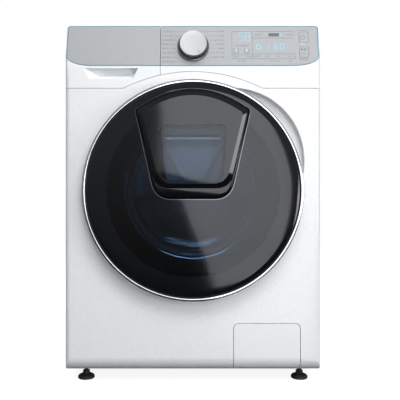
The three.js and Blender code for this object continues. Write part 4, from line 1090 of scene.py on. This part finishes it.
def addDoorRing():
    outer, inner, front, back = doorRadius, door["ringInner"], door["ringFront"], door["ringBack"]
    nose = arc(outer - 4.4 * mm, front + 4.4 * mm, 4.4 * mm, 360, 270, 8)
    nose += arc(inner + 2 * mm, front + 2 * mm, 2 * mm, 270, 180, 4)
    ring = spinProfile([(inner, back + 3 * mm), (outer - 0.9 * mm, back + 3 * mm),
                        (outer - 0.6 * mm, back - 2 * mm),
                        (outer, back - 4 * mm)] + nose, door["steps"], closed=True)
    ring = combine(ring, notchBlock(5 * mm))
    placePiece(makePiece(ring, "doorRing", chrome, doorFrame, angle=40), "door", "chrome_ring", "door_ring")
    # thin black band behind the ring's back edge: partly a black gasket, partly painted contact shadow under
    # the ring
    gasketShade = spinProfile([(inner - 6 * mm, back + 3.2 * mm), (outer - 1.2 * mm, back + 3.2 * mm),
                          (outer - 1.6 * mm, back + 5.4 * mm), (inner - 6 * mm, back + 5.4 * mm)],
                         door["steps"], closed=True)
    gasketShade = combine(gasketShade, notchBlock(9 * mm))
    placePiece(makePiece(gasketShade, "doorRingGasketShade", blackRubberAndShade, doorFrame), "door", "black_plastic")


def domeCurve(radius, shift, steps=20):
    points = []
    for i in range(steps + 1):
        reach = radius * i / steps
        points.append((reach, door["edge"] + shift - door["rise"] * (1 - (reach / door["cover"]) ** 2)))
    return points


def hatchOutline(grow, footZ, steps=9):
    # outline of the lid and its surround: five sides, the top bowed, all corners rounded
    topX, topZ = hatch["topHalf"] + grow, hatch["topZ"] + 0.6 * grow
    footX = hatch["footHalf"] + grow - (hatch["footZ"] - footZ) * 0.23
    slope = (topX - footX) / (topZ - footZ)
    cut, turnIn, rise = 11 * mm, 13 * mm, 4.5 * mm
    apex = 2 * (hatch["apexZ"] + grow) - topZ - rise
    corner = hatch["corner"] + 0.9 * max(grow, 0)
    bends = [
        ((footX - corner, footZ), (footX, footZ), (footX + slope * corner, footZ + corner), steps),
        ((topX - slope * cut, topZ - cut), (topX, topZ), (topX - turnIn, topZ + rise), steps - 2),
        ((topX - turnIn, topZ + rise), (0, apex), (-topX + turnIn, topZ + rise), 28),
        ((-topX + turnIn, topZ + rise), (-topX, topZ), (-topX + slope * cut, topZ - cut), steps - 2),
        ((-footX - slope * corner, footZ + corner), (-footX, footZ), (-footX + corner, footZ), steps),
    ]
    points = []
    for start, knot, end, count in bends:
        for i in range(count + 1):
            spot = curvePoint(start, knot, end, i / count)
            if not points or (Vector(spot) - Vector(points[-1])).length > 1e-6:
                points.append(spot)
    return points


def hatchPrism(grow, footZ, low, high):
    return outlinePrism(hatchOutline(grow, footZ), "y", low, high)


def hatchLoft(levels, footZ):
    # closes a stack of outlines; each level says how far the outline grows and at what depth it lies
    bm = bmesh.new()
    loops = []
    for grow, y in levels:
        verts = [bm.verts.new((x, y, z)) for x, z in hatchOutline(grow, footZ - grow)]
        loops.append([bm.edges.new((verts[i - 1], verts[i])) for i in range(len(verts))])
    for lower, upper in zip(loops, loops[1:]):
        bmesh.ops.bridge_loops(bm, edges=lower + upper)
    bmesh.ops.holes_fill(bm, edges=loops[0] + loops[-1])
    bmesh.ops.recalc_face_normals(bm, faces=bm.faces)
    return bm


def ductPrism(grow, low, high):
    top, foot = hatch["ductTop"], hatch["ductFoot"]
    points = roundedTrapezium(foot[0] + grow, top[0] + grow, foot[1] - grow, top[1] + grow, 9 * mm + grow)
    return outlinePrism(points, "y", low, high)


def roundedTrapezium(footHalf, topHalf, footZ, topZ, corner):
    points = []
    corners = [(footHalf, footZ), (topHalf, topZ), (-topHalf, topZ), (-footHalf, footZ)]
    for i, (x, z) in enumerate(corners):
        spot = Vector((x, z))
        before = spot + (Vector(corners[i - 1]) - spot).normalized() * corner
        after = spot + (Vector(corners[(i + 1) % 4]) - spot).normalized() * corner
        for k in range(7):
            points.append(curvePoint(before, spot, after, k / 6))
    return points


def addDoorCover():
    skirt = door["cover"] - door["wall"]
    profile = domeCurve(door["cover"], 0)[:-1]
    profile += arc(door["cover"] - 2 * mm, door["edge"] + 2.2 * mm, 2 * mm, 300, 360, 4)
    profile += [(door["cover"], door["ringBack"]), (skirt, door["ringBack"])]
    profile += domeCurve(skirt, door["wall"])[::-1]
    dome = spinProfile(profile, door["steps"])
    hole = hatch["bevel"] + 0.4 * mm
    dome = combine(dome, hatchPrism(hole, hatch["surroundFoot"] - hole, -0.15, 0.15))
    dome = combine(dome, notchBlock(16 * mm))
    cover = makePiece(dome, "doorCover", smoked, doorFrame, angle=40)
    # the border is printed black behind the acrylic and hides hinge, latch and screws
    cover.data.materials.append(gloss)
    for face in cover.data.polygons:
        centre = face.center - doorFrame.translation
        if math.hypot(centre.x, centre.z) > door["border"] - 4 * mm:
            face.material_index = 1
    placePiece(cover, "door", "dark_glass", "door_cover")


def addDoorFrame():
    back, collar = door["back"], door["collar"]
    front = back - 3 * mm
    plate = spinProfile([
        (collar, front), (232 * mm, front), (234 * mm, front - 2.2 * mm), (241 * mm, front - 2.2 * mm),
        (242 * mm, front), (246.4 * mm, front), (246.4 * mm, back), (collar + 4 * mm, back),
        (collar + 4 * mm, back + 16 * mm), (collar, back + 16 * mm),
    ], door["steps"], closed=True)
    knuckleX, knuckleY = door["hingeX"], -21 * mm
    arms = combine(notchBlock(45 * mm), block((-1, -1, -14 * mm), (1, 1, 14 * mm)))
    plate = combine(plate, arms)
    knuckle = moved(cylinder(5 * mm, -14 * mm, 14 * mm, 32, "z"), (knuckleX, knuckleY, 0))
    plate = combine(plate, knuckle, "UNION")
    web = block((knuckleX, knuckleY + 2 * mm, -14 * mm), (knuckleX + 48 * mm, back - 1 * mm, 14 * mm))
    plate = combine(plate, web, "UNION")
    plate = combine(plate, moved(cylinder(3 * mm, -0.1, 0.1, 32, "z"), (knuckleX, knuckleY, 0)))
    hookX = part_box("door_hook")[0].x
    plate = combine(plate, block((hookX - 4.5 * mm, -1, -8 * mm), (hookX + 13.5 * mm, 1, 8 * mm)))
    placePiece(makePiece(plate, "doorInnerFrame", gloss, doorFrame), "door", "pale_plastic", "door_frame")
    screws = []
    for i in range(10):
        angle = math.radians(18 + 36 * i)
        head = cylinder(4.2 * mm, back - 0.1 * mm, back + 1.4 * mm, 20)
        head = combine(head, block((-2.6 * mm, back + 0.7 * mm, -0.5 * mm), (2.6 * mm, 0.1, 0.5 * mm)))
        screws.append(moved(head, (200 * mm * math.cos(angle), 0, 200 * mm * math.sin(angle))))
    placePiece(makePiece(merged(*screws), "doorFrameScrews", zinc, doorFrame), "door", "zinc_steel")


def addDoorGlass():
    radius, deep, wall = bowl["radius"], bowl["depth"], bowl["wall"]
    outer = [(radius, -7.5 * mm), (radius, -3.5 * mm), (radius - 5 * mm, 2 * mm)]
    outer += [(radius - 9 * mm - 7 * mm * t, 12 * mm + (deep * 0.4 - 12 * mm) * t) for t in (0, 0.5, 1)]
    bend = [((radius - 16 * mm, deep * 0.4), (radius - 30 * mm, deep * 0.97), (radius - 66 * mm, deep))]
    for start, knot, end in bend:
        for i in range(1, 11):
            outer.append(curvePoint(start, knot, end, i / 10))
    outer.append((0, deep))
    inner = [(0, deep - wall), (radius - 68 * mm, deep - wall), (radius - 52 * mm, deep * 0.87),
             (radius - 36 * mm, deep * 0.68), (radius - 20 * mm, deep * 0.38), (radius - 14 * mm, 8 * mm),
             (radius - 9 * mm, -7.5 * mm)]
    shape = spinProfile(outer[::-1] + inner[::-1], 128)
    shape = combine(shape, ductPrism(hatch["ductWall"] + 0.4 * mm, -0.15, 0.15))
    placePiece(makePiece(shape, "doorBowl", glass, doorFrame, angle=40), "door", "bowl_glass", "door_glass")


def addHatchSurround():
    backY = door["back"] - 3.4 * mm
    bevel, foot, front = hatch["bevel"], hatch["surroundFoot"], hatch["surroundFront"]
    rise = 16 * mm
    levels = [(0, front), (1.6 * mm, front + 0.9 * mm), (bevel - 1 * mm, front + rise - 3 * mm),
              (bevel, front + rise), (bevel, backY)]
    bm = hatchLoft(levels, foot)
    wall = 3 * mm
    shape = combine(bm, hatchPrism(bevel - wall, foot - bevel + wall, hatch["ledge"] + wall, 0.2))
    shape = combine(shape, hatchPrism(hatch["gap"], hatch["footZ"] - hatch["gap"], -0.2, hatch["ledge"]))
    shape = combine(shape, ductPrism(hatch["ductWall"], hatch["ledge"] + 0.1 * mm, 62 * mm), "UNION")
    shape = combine(shape, ductPrism(0, -0.2, 0.2))
    piece = makePiece(shape, "hatchSurround", gloss, doorFrame, angle=30, bevel=0.6 * mm)
    placePiece(piece, "door", "dark_glass", "hatch_surround")
    seal = combine(ductPrism(7 * mm, hatch["ledge"] - 1.6 * mm, hatch["ledge"] + 0.1 * mm),
                   ductPrism(2 * mm, -0.2, 0.2))
    placePiece(makePiece(seal, "hatchSeal", rubber, doorFrame, bevel=0.6 * mm), "door", "bellows_rubber")


def bentFoot(bm):
    # lets the lower end fall back towards the dome
    bend, foot = hatch["bend"], hatch["footZ"]
    for i in range(9):
        geom = bm.verts[:] + bm.edges[:] + bm.faces[:]
        bmesh.ops.bisect_plane(bm, geom=geom, plane_co=(0, 0, foot + bend * i / 9), plane_no=(0, 0, 1))
    for vert in bm.verts:
        vert.co.y += hatch["fall"] * max(0, (foot + bend - vert.co.z) / bend) ** 2
    return bm


def addHatchRim():
    # fine dark-chrome line where the surround meets the dome
    grow, foot = hatch["bevel"], hatch["surroundFoot"]
    line = combine(hatchPrism(grow + 0.9 * mm, foot - grow - 0.9 * mm, -0.2, 0.2),
                   hatchPrism(grow - 0.5 * mm, foot - grow + 0.5 * mm, -0.3, 0.3))
    reach = door["cover"] - 2 * mm
    shell = spinProfile(domeCurve(reach, -0.5 * mm) + domeCurve(reach, 0.6 * mm)[::-1], door["steps"])
    line = combine(line, shell, "INTERSECT")
    placePiece(makePiece(line, "hatchRimLine", darkChrome, doorFrame), "door", "dark_chrome")


def addHatchLid():
    front, foot = hatch["front"], hatch["footZ"]
    thick = 9 * mm
    facet = hatch["facet"]
    levels = [(-facet, front), (-0.8 * mm, front + 4.6 * mm), (0, front + 5.6 * mm), (0, front + thick)]
    shape = bentFoot(hatchLoft(levels, foot))
    pane = combine(shape.copy(), ductPrism(hatch["print"], -0.2, 0.2), "INTERSECT")
    border = combine(shape, ductPrism(hatch["print"], -0.2, 0.2))
    for part, name, material in ((pane, "hatchPane", smoked), (border, "hatchBorder", gloss)):
        piece = makePiece(part, name, material, doorFrame, angle=12)
        placePiece(piece, "hatch", "dark_glass", "hatch_window")
    frame = combine(hatchPrism(-1 * mm, foot + 1 * mm, front + thick + 0.4 * mm, hatch["ledge"] - 3 * mm),
                    hatchPrism(-16 * mm, foot + 16 * mm, -0.2, 0.2))
    catch = block((84 * mm, hatch["ledge"] - 4 * mm, 95 * mm), (90 * mm, hatch["ledge"] - 0.4 * mm, 115 * mm))
    frame = combine(frame, catch, "UNION")
    piece = makePiece(frame, "hatchFrame", gloss, doorFrame, bevel=0.5 * mm)
    placePiece(piece, "hatch", "black_plastic", "hatch_frame")


addDoorRing()
addDoorCover()
addDoorFrame()
addDoorGlass()
addHatchSurround()
addHatchRim()
addHatchLid()
print("door and hatch made")


# ---- drum, paddles, back plate and bellows

drum = {
    "radius": 233 * mm, "front": 95 * mm, "rear": 422 * mm, "mouth": 172 * mm, "sheet": 2 * mm, "steps": 128,
    "holeRadius": 2.1 * mm, "holesRound": 66, "rowStep": 15 * mm, "plate": 414 * mm, "plateRadius": 185 * mm,
    "paddles": 3,
}


def addDrum():
    sheet, front, mouth = drum["sheet"], drum["front"], drum["mouth"]
    outer, rear = drum["radius"] + sheet, drum["rear"] + 6 * mm
    profile = arc(outer - 9 * mm, front + 9 * mm, 9 * mm, 270, 360, 8)
    profile += [(outer, rear), (outer - sheet, rear)]
    profile += arc(outer - 9 * mm, front + 9 * mm, 7 * mm, 360, 270, 8)
    profile += [(mouth + 5 * mm, front + sheet), (mouth + sheet, front + 5 * mm),
                (mouth + sheet, front + 13 * mm),
                (mouth + 1 * mm, front + 14 * mm), (mouth, front + 13 * mm), (mouth, front + 4 * mm),
                (mouth + 1.2 * mm, front + 1.2 * mm), (mouth + 4 * mm, front)]
    shell = spinProfile(profile, drum["steps"], closed=True)
    piece = makePiece(shell, "drumShell", stainless, doorFrame, angle=40)
    placePiece(piece, "drum", "drum_steel", "drum_shell")
    # the holes are not cut: black discs just inside the shell are painted shade for the dark the holes would
    # show
    holes = bmesh.new()
    row = 0
    y = front + 22 * mm
    while y < drum["plate"] - 24 * mm:
        made = bmesh.ops.create_circle(holes, cap_ends=True, segments=8, radius=drum["holeRadius"])["verts"]
        turn = Matrix.Rotation(math.pi / 2, 4, "Y")
        place = Matrix.Translation((drum["radius"] - 0.15 * mm, y, 0)) @ turn
        half = math.pi / drum["holesRound"] * (row % 2)
        bmesh.ops.transform(holes, matrix=Matrix.Rotation(half, 4, "Y") @ place, verts=made)
        faces = list({f for v in made for f in v.link_faces})
        edges = list({e for v in made for e in v.link_edges})
        bmesh.ops.spin(holes, geom=made + edges + faces, cent=(0, 0, 0), axis=(0, 1, 0), use_duplicate=True,
                       angle=2 * math.pi * (1 - 1 / drum["holesRound"]), steps=drum["holesRound"] - 1)
        y += drum["rowStep"]
        row += 1
    solid = bmesh.ops.extrude_face_region(holes, geom=holes.faces[:])
    for vert in [v for v in solid["geom"] if isinstance(v, bmesh.types.BMVert)]:
        scale = 1 + 0.1 * mm / math.hypot(vert.co.x, vert.co.z)
        vert.co.x *= scale
        vert.co.z *= scale
    placePiece(makePiece(holes, "drumHoleShade", blackRubberAndShade, doorFrame), "drum", "drum_steel")


def addPaddles():
    low, high = Vector(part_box("drum_paddle_1")[0]), Vector(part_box("drum_paddle_1")[1])
    foot = drum["radius"] + 10 * mm  # starts outside the drum and is trimmed to it
    for i in range(drum["paddles"]):
        base = high.x
        outline = [(-base, -foot), (base, -foot), (base * 0.86, low.z - axis.z + 10 * mm),
                   (11 * mm, high.z - axis.z - 6 * mm), (6 * mm, high.z - axis.z), (-6 * mm, high.z - axis.z),
                   (-11 * mm, high.z - axis.z - 6 * mm), (-base * 0.86, low.z - axis.z + 10 * mm)]
        wedge = outlinePrism(outline, "y", low.y - panelY, high.y - panelY)
        middle = (low.y + high.y) / 2 - panelY
        for vert in wedge.verts:
            rise = max(0, vert.co.z + drum["radius"] - 8 * mm) / (40 * mm)
            vert.co.y = middle + (vert.co.y - middle) * (1 - 0.24 * rise ** 1.5)
        wedge = combine(wedge, cylinder(drum["radius"] - 0.4 * mm, -1, 1, 128), "INTERSECT")
        wedge = turned(wedge, 120 * i, "Y")
        piece = makePiece(wedge, f"drumPaddle{i + 1}", grey, doorFrame, bevel=2.4 * mm, segments=3)
        placePiece(piece, "drum", "grey_plastic", f"drum_paddle_{i + 1}")


def addPulsator():
    radius, back = drum["plateRadius"], drum["plate"]
    profile = [(0, back), (radius - 1 * mm, back), (radius, back - 1.5 * mm),
               (radius - 1 * mm, back - 5 * mm), (radius - 8 * mm, back - 7.5 * mm),
               (radius * 0.6, back - 11 * mm), (58 * mm, back - 15 * mm), (46 * mm, back - 18.4 * mm),
               (30 * mm, back - 19.6 * mm), (0, back - 20 * mm)]
    plate = spinProfile(profile, 96)
    for i in range(6):
        ribOutline = roundedRect(40 * mm, radius - 14 * mm, -7 * mm, 7 * mm, 6.5 * mm)
        rib = outlinePrism(ribOutline, "y", back - 25 * mm, back - 3 * mm)
        for vert in rib.verts:
            if vert.co.y < back - 20 * mm:
                vert.co.z *= 0.62
                vert.co.y += max(0, vert.co.x - 60 * mm) * 0.07
        plate = combine(plate, turned(rib, 60 * i, "Y"), "UNION")
    for i in range(6):
        for reach in (90, 118, 146):
            angle = math.radians(60 * i + 30)
            offset = (reach * mm * math.cos(angle), 0, reach * mm * math.sin(angle))
            plate = combine(plate, moved(cylinder(5 * mm, -1, 1, 16), offset))
    piece = makePiece(plate, "pulsatorPlate", grey, doorFrame, angle=30)
    placePiece(piece, "agitator", "grey_plastic", "pulsator")
    low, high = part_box("drum_rear")
    rear, edge = drum["rear"], drum["radius"] - 0.4 * mm
    sheet = spinProfile([(20 * mm, rear), (150 * mm, rear), (156 * mm, rear - 3 * mm),
                         (190 * mm, rear - 3 * mm), (196 * mm, rear), (edge, rear), (edge, rear + 2 * mm),
                         (20 * mm, rear + 2 * mm)], 96, closed=True)
    placePiece(makePiece(sheet, "drumBackSheet", stainless, doorFrame), "drum", "drum_steel")


def addBellows():
    front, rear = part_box("door_seal")[0].y - panelY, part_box("door_seal")[1].y - panelY
    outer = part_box("door_seal")[1].x
    mouth = drum["mouth"]
    profile = [
        (mouth, front + 8 * mm), (mouth + 5 * mm, front + 2.6 * mm), (outer - 11 * mm, front),
        (outer - 6 * mm, front), (outer - 8.5 * mm, front + 8 * mm), (outer - 12 * mm, front + 17 * mm),
        (outer - 12.6 * mm, front + 23 * mm), (outer - 9 * mm, front + 30 * mm),
        (outer - 4.5 * mm, front + 36 * mm), (outer - 3 * mm, front + 46 * mm),
        (outer, rear - 6 * mm), (outer, rear), (outer - 13 * mm, rear), (outer - 13.5 * mm, rear - 12 * mm),
        (outer - 9 * mm, front + 44 * mm), (outer - 12 * mm, front + 34 * mm),
        (outer - 20 * mm, front + 27 * mm), (outer - 21.4 * mm, front + 21 * mm),
        (mouth + 4 * mm, front + 15 * mm), (mouth + 1 * mm, front + 12 * mm),
    ]
    seal = makePiece(spinProfile(profile, 128, closed=True), "doorBellows", rubber, doorFrame, angle=50)
    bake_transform(seal)
    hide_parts("door_seal")
    bandLow, bandHigh = 186.2 * mm, 189.4 * mm
    band = spinProfile([(bandLow, front - 0.3 * mm), (bandHigh, front - 0.3 * mm),
                        (bandHigh, front + 2.4 * mm), (bandLow, front + 2.4 * mm)], 128, closed=True)
    placePiece(makePiece(band, "bellowsBand", zinc, doorFrame), "cabinet", "zinc_steel")


addDrum()
addPaddles()
addPulsator()
addBellows()
print("drum and bellows made")


# ---- cabinet: sides, worktop, back and feet

cabinet = {
    "pressing": 0.9 * mm, "margin": 46 * mm, "corner": 26 * mm, "screw": 4.6 * mm, "cap": 15 * mm,
    "topScrew": 0.24,
    "rearPressings": ((-0.26, -0.215, 0.2, 0.62), (0.215, 0.26, 0.2, 0.62), (-0.12, 0.2, 0.69, 0.73)),
    "vents": 9, "ventStart": 0.03, "ventStep": 20 * mm, "ventWidth": 5 * mm, "ventFoot": 0.75,
    "ventTop": 0.782,
    "screwSide": 0.288, "screwHeights": (0.06, 0.24, 0.42, 0.6, 0.79), "lowScrews": (-0.15, 0.0, 0.15),
    "lowScrewHeight": 0.04, "caps": ((-0.2, 0.16), (0.2, 0.16), (-0.2, 0.655), (0.2, 0.655)),
}


def nodeMesh(name):
    # a merged copy of a node's own triangles
    bm = bmesh.new()
    bm.from_mesh(frame["nodes"][name].data)
    bmesh.ops.remove_doubles(bm, verts=bm.verts, dist=1e-6)
    bmesh.ops.dissolve_limit(bm, angle_limit=math.radians(0.5), verts=bm.verts, edges=bm.edges)
    return bm


def addSides():
    for sign, side in ((1, "right"), (-1, "left")):
        name = "side_panel_" + side
        low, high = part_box(name)
        bm = nodeMesh(name)
        margin = cabinet["margin"]
        outline = roundedRect(low.y + margin, high.y - margin, low.z + margin + 30 * mm, high.z - margin,
                              cabinet["corner"])
        depth = cabinet["pressing"]
        x0, x1 = sorted((sign * halfWidth + sign * 1 * mm, sign * (halfWidth - depth)))
        press = outlinePrism(outline, "x", x0, x1)
        for vert in press.verts:
            if abs(vert.co.x) < halfWidth:
                vert.co.y += 5 * mm if vert.co.y < 0.04 else -5 * mm
                vert.co.z += 5 * mm if vert.co.z < 0.42 else -5 * mm
        bm = combine(bm, press)
        piece = makePiece(bm, "sidePanel" + side.capitalize(), white, bevel=0.5 * mm)
        placePiece(piece, "cabinet", "white_enamel", name)


def addWorktop():
    board = makePiece(nodeMesh("worktop"), "worktopBoard", whiteAbs, bevel=1.4 * mm, segments=3)
    placePiece(board, "cabinet", "white_plastic", "worktop")
    low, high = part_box("worktop")
    for side, x in (("Left", -cabinet["topScrew"]), ("Right", cabinet["topScrew"])):
        screw = screwHead((x, high.y, (low.z + high.z) / 2 - 2 * mm), "y", 1)
        placePiece(makePiece(screw, "worktopScrew" + side, zinc), "cabinet", "zinc_steel")


def screwHead(place, direction, sign):
    # cross-head screw, its head on the plane at place
    radius = cabinet["screw"]
    head = cylinder(radius, 0, 1.6 * mm, 20, "z", top=radius * 0.72)
    for wide, tall in ((0.9 * mm, 4 * mm), (4 * mm, 0.9 * mm)):
        head = combine(head, block((-wide / 2, -tall / 2, 0.7 * mm), (wide / 2, tall / 2, 3 * mm)))
    if direction == "y":
        head = turned(head, -90 * sign, "X")
    return moved(head, place)


def addRearPanel():
    low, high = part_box("rear_panel")
    outY = high.y
    bm = nodeMesh("rear_panel")
    for x0, x1, z0, z1 in cabinet["rearPressings"]:
        outline = roundedRect(x0, x1, z0, z1, 18 * mm)
        press = outlinePrism(outline, "y", outY - cabinet["pressing"], outY + 1 * mm)
        bm = combine(bm, press)
    for i in range(cabinet["vents"]):
        x = cabinet["ventStart"] + cabinet["ventStep"] * i
        slotOutline = roundedRect(x, x + cabinet["ventWidth"], cabinet["ventFoot"], cabinet["ventTop"],
                                  2.4 * mm, 3)
        slot = outlinePrism(slotOutline, "y", low.y - 1 * mm, high.y + 1 * mm)
        bm = combine(bm, slot)
    piece = makePiece(bm, "rearPanelSheet", white, bevel=0.4 * mm)
    placePiece(piece, "cabinet", "white_enamel", "rear_panel")
    screws = []
    for x in (-cabinet["screwSide"], cabinet["screwSide"]):
        for z in cabinet["screwHeights"]:
            screws.append(screwHead((x, outY, z), "y", 1))
    for x in cabinet["lowScrews"]:
        screws.append(screwHead((x, outY, cabinet["lowScrewHeight"]), "y", 1))
    placePiece(makePiece(merged(*screws), "rearScrews", zinc), "cabinet", "zinc_steel")
    caps = []
    for x, z in cabinet["caps"]:
        cap = spinProfile([(0, 3.2 * mm), (cabinet["cap"] - 4 * mm, 3.2 * mm), (cabinet["cap"], 1.4 * mm),
                           (cabinet["cap"], 0.05 * mm), (0, 0.05 * mm)], 32)
        slot = block((-1.2 * mm, 2 * mm, -8 * mm), (1.2 * mm, 5 * mm, 8 * mm))
        caps.append(moved(combine(cap, slot), (x, outY, z)))
    placePiece(makePiece(merged(*caps), "transitCaps", pale), "cabinet", "pale_plastic")


def addAccessCover():
    low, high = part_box("rear_access_cover")
    radius = high.x
    deep = high.y - low.y
    profile = [(radius, 0), (radius, 1.2 * mm), (radius - 12 * mm, 1.2 * mm),
               (radius - 19 * mm, deep - 1 * mm), (radius - 23 * mm, deep), (radius * 0.62, deep),
               (radius * 0.6, deep - 1.6 * mm), (radius * 0.4, deep - 1.6 * mm),
               (radius * 0.38, deep), (0, deep), (0, deep - 1.2 * mm), (radius * 0.37, deep - 1.2 * mm),
               (radius * 0.39, deep - 2.8 * mm), (radius * 0.61, deep - 2.8 * mm),
               (radius * 0.63, deep - 1.2 * mm), (radius - 23.6 * mm, deep - 1.2 * mm),
               (radius - 20 * mm, 0)]
    place = Matrix.Translation((0, low.y, (low.z + high.z) / 2))
    cover = makePiece(spinProfile(profile, 96, closed=True), "accessCover", zinc, place)
    placePiece(cover, "cabinet", "zinc_steel", "rear_access_cover")
    screws = []
    for i in range(8):
        angle = math.radians(22.5 + 45 * i)
        reach = radius - 6 * mm
        spot = (reach * math.cos(angle), low.y + 1.2 * mm, place.translation.z + reach * math.sin(angle))
        screws.append(screwHead(spot, "y", 1))
    placePiece(makePiece(merged(*screws), "accessScrews", zinc), "cabinet", "zinc_steel")


def addFeet():
    for node, body in (("foot_front_left", "front_left_foot"), ("foot_front_right", "front_right_foot"),
                       ("foot_rear_left", "rear_left_foot"), ("foot_rear_right", "rear_right_foot")):
        low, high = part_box(node)
        radius = (high.x - low.x) / 2
        centre = ((low.x + high.x) / 2, (low.y + high.y) / 2, 0)
        pad = spinProfile([(0, 0), (radius - 1.4 * mm, 0), (radius, 1.4 * mm), (radius, 5 * mm),
                           (radius - 2 * mm, 8 * mm), (radius - 7 * mm, 10.5 * mm), (8 * mm, 13 * mm),
                           (5 * mm, 13 * mm), (5 * mm, high.z), (0, high.z)], 48)
        nut = cylinder(9 * mm, 12.4 * mm, 19 * mm, 6, "z")
        pad = combine(turned(pad, 90, "X"), nut, "UNION")
        name = "levelling" + "".join(part.capitalize() for part in node.split("_"))
        placePiece(makePiece(pad, name, black, Matrix.Translation(centre), angle=35, bevel=0.4 * mm), body,
                   "black_plastic", node)


def addSprings():
    # each spring hangs from the cabinet; here it is a fixed copy of its node's own mesh
    for side in ("left", "right"):
        spring = makePiece(nodeMesh("spring_" + side), "tubSpring" + side.capitalize(), zinc)
        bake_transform(spring)
        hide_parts("spring_" + side)


addSides()
addSprings()
addWorktop()
addRearPanel()
addAccessCover()
addFeet()
print("cabinet made")


# ---- everything kept from the frame gets its own material

nodeMaterials = {
    "base_tray": zinc, "dispenser_housing": pale, "control_board": pale, "drawer_tray": pale,
    "tub_front": grey, "tub_rear": grey, "counterweight_top": concrete, "counterweight_front": concrete,
    "damper_cylinder_left": black, "damper_cylinder_right": black, "damper_rod_left": zinc,
    "damper_rod_right": zinc, "drum_rear": cast, "bearing_cartridge": zinc, "drum_shaft": zinc,
    "stator": copper,
    "motor_rotor": zinc, "drain_pump": black, "drain_filter": pale, "sump_hose": blackRubberAndShade, "inlet_valve": pale,
    "drain_outlet": black, "mains_gland": black, "door_hook": zinc, "door_lock": black, "door_hinge": zinc,
}
for node, material in nodeMaterials.items():
    mesh = frame["nodes"][node].data
    mesh.materials.clear()
    mesh.materials.append(material)
print("inner parts finished")
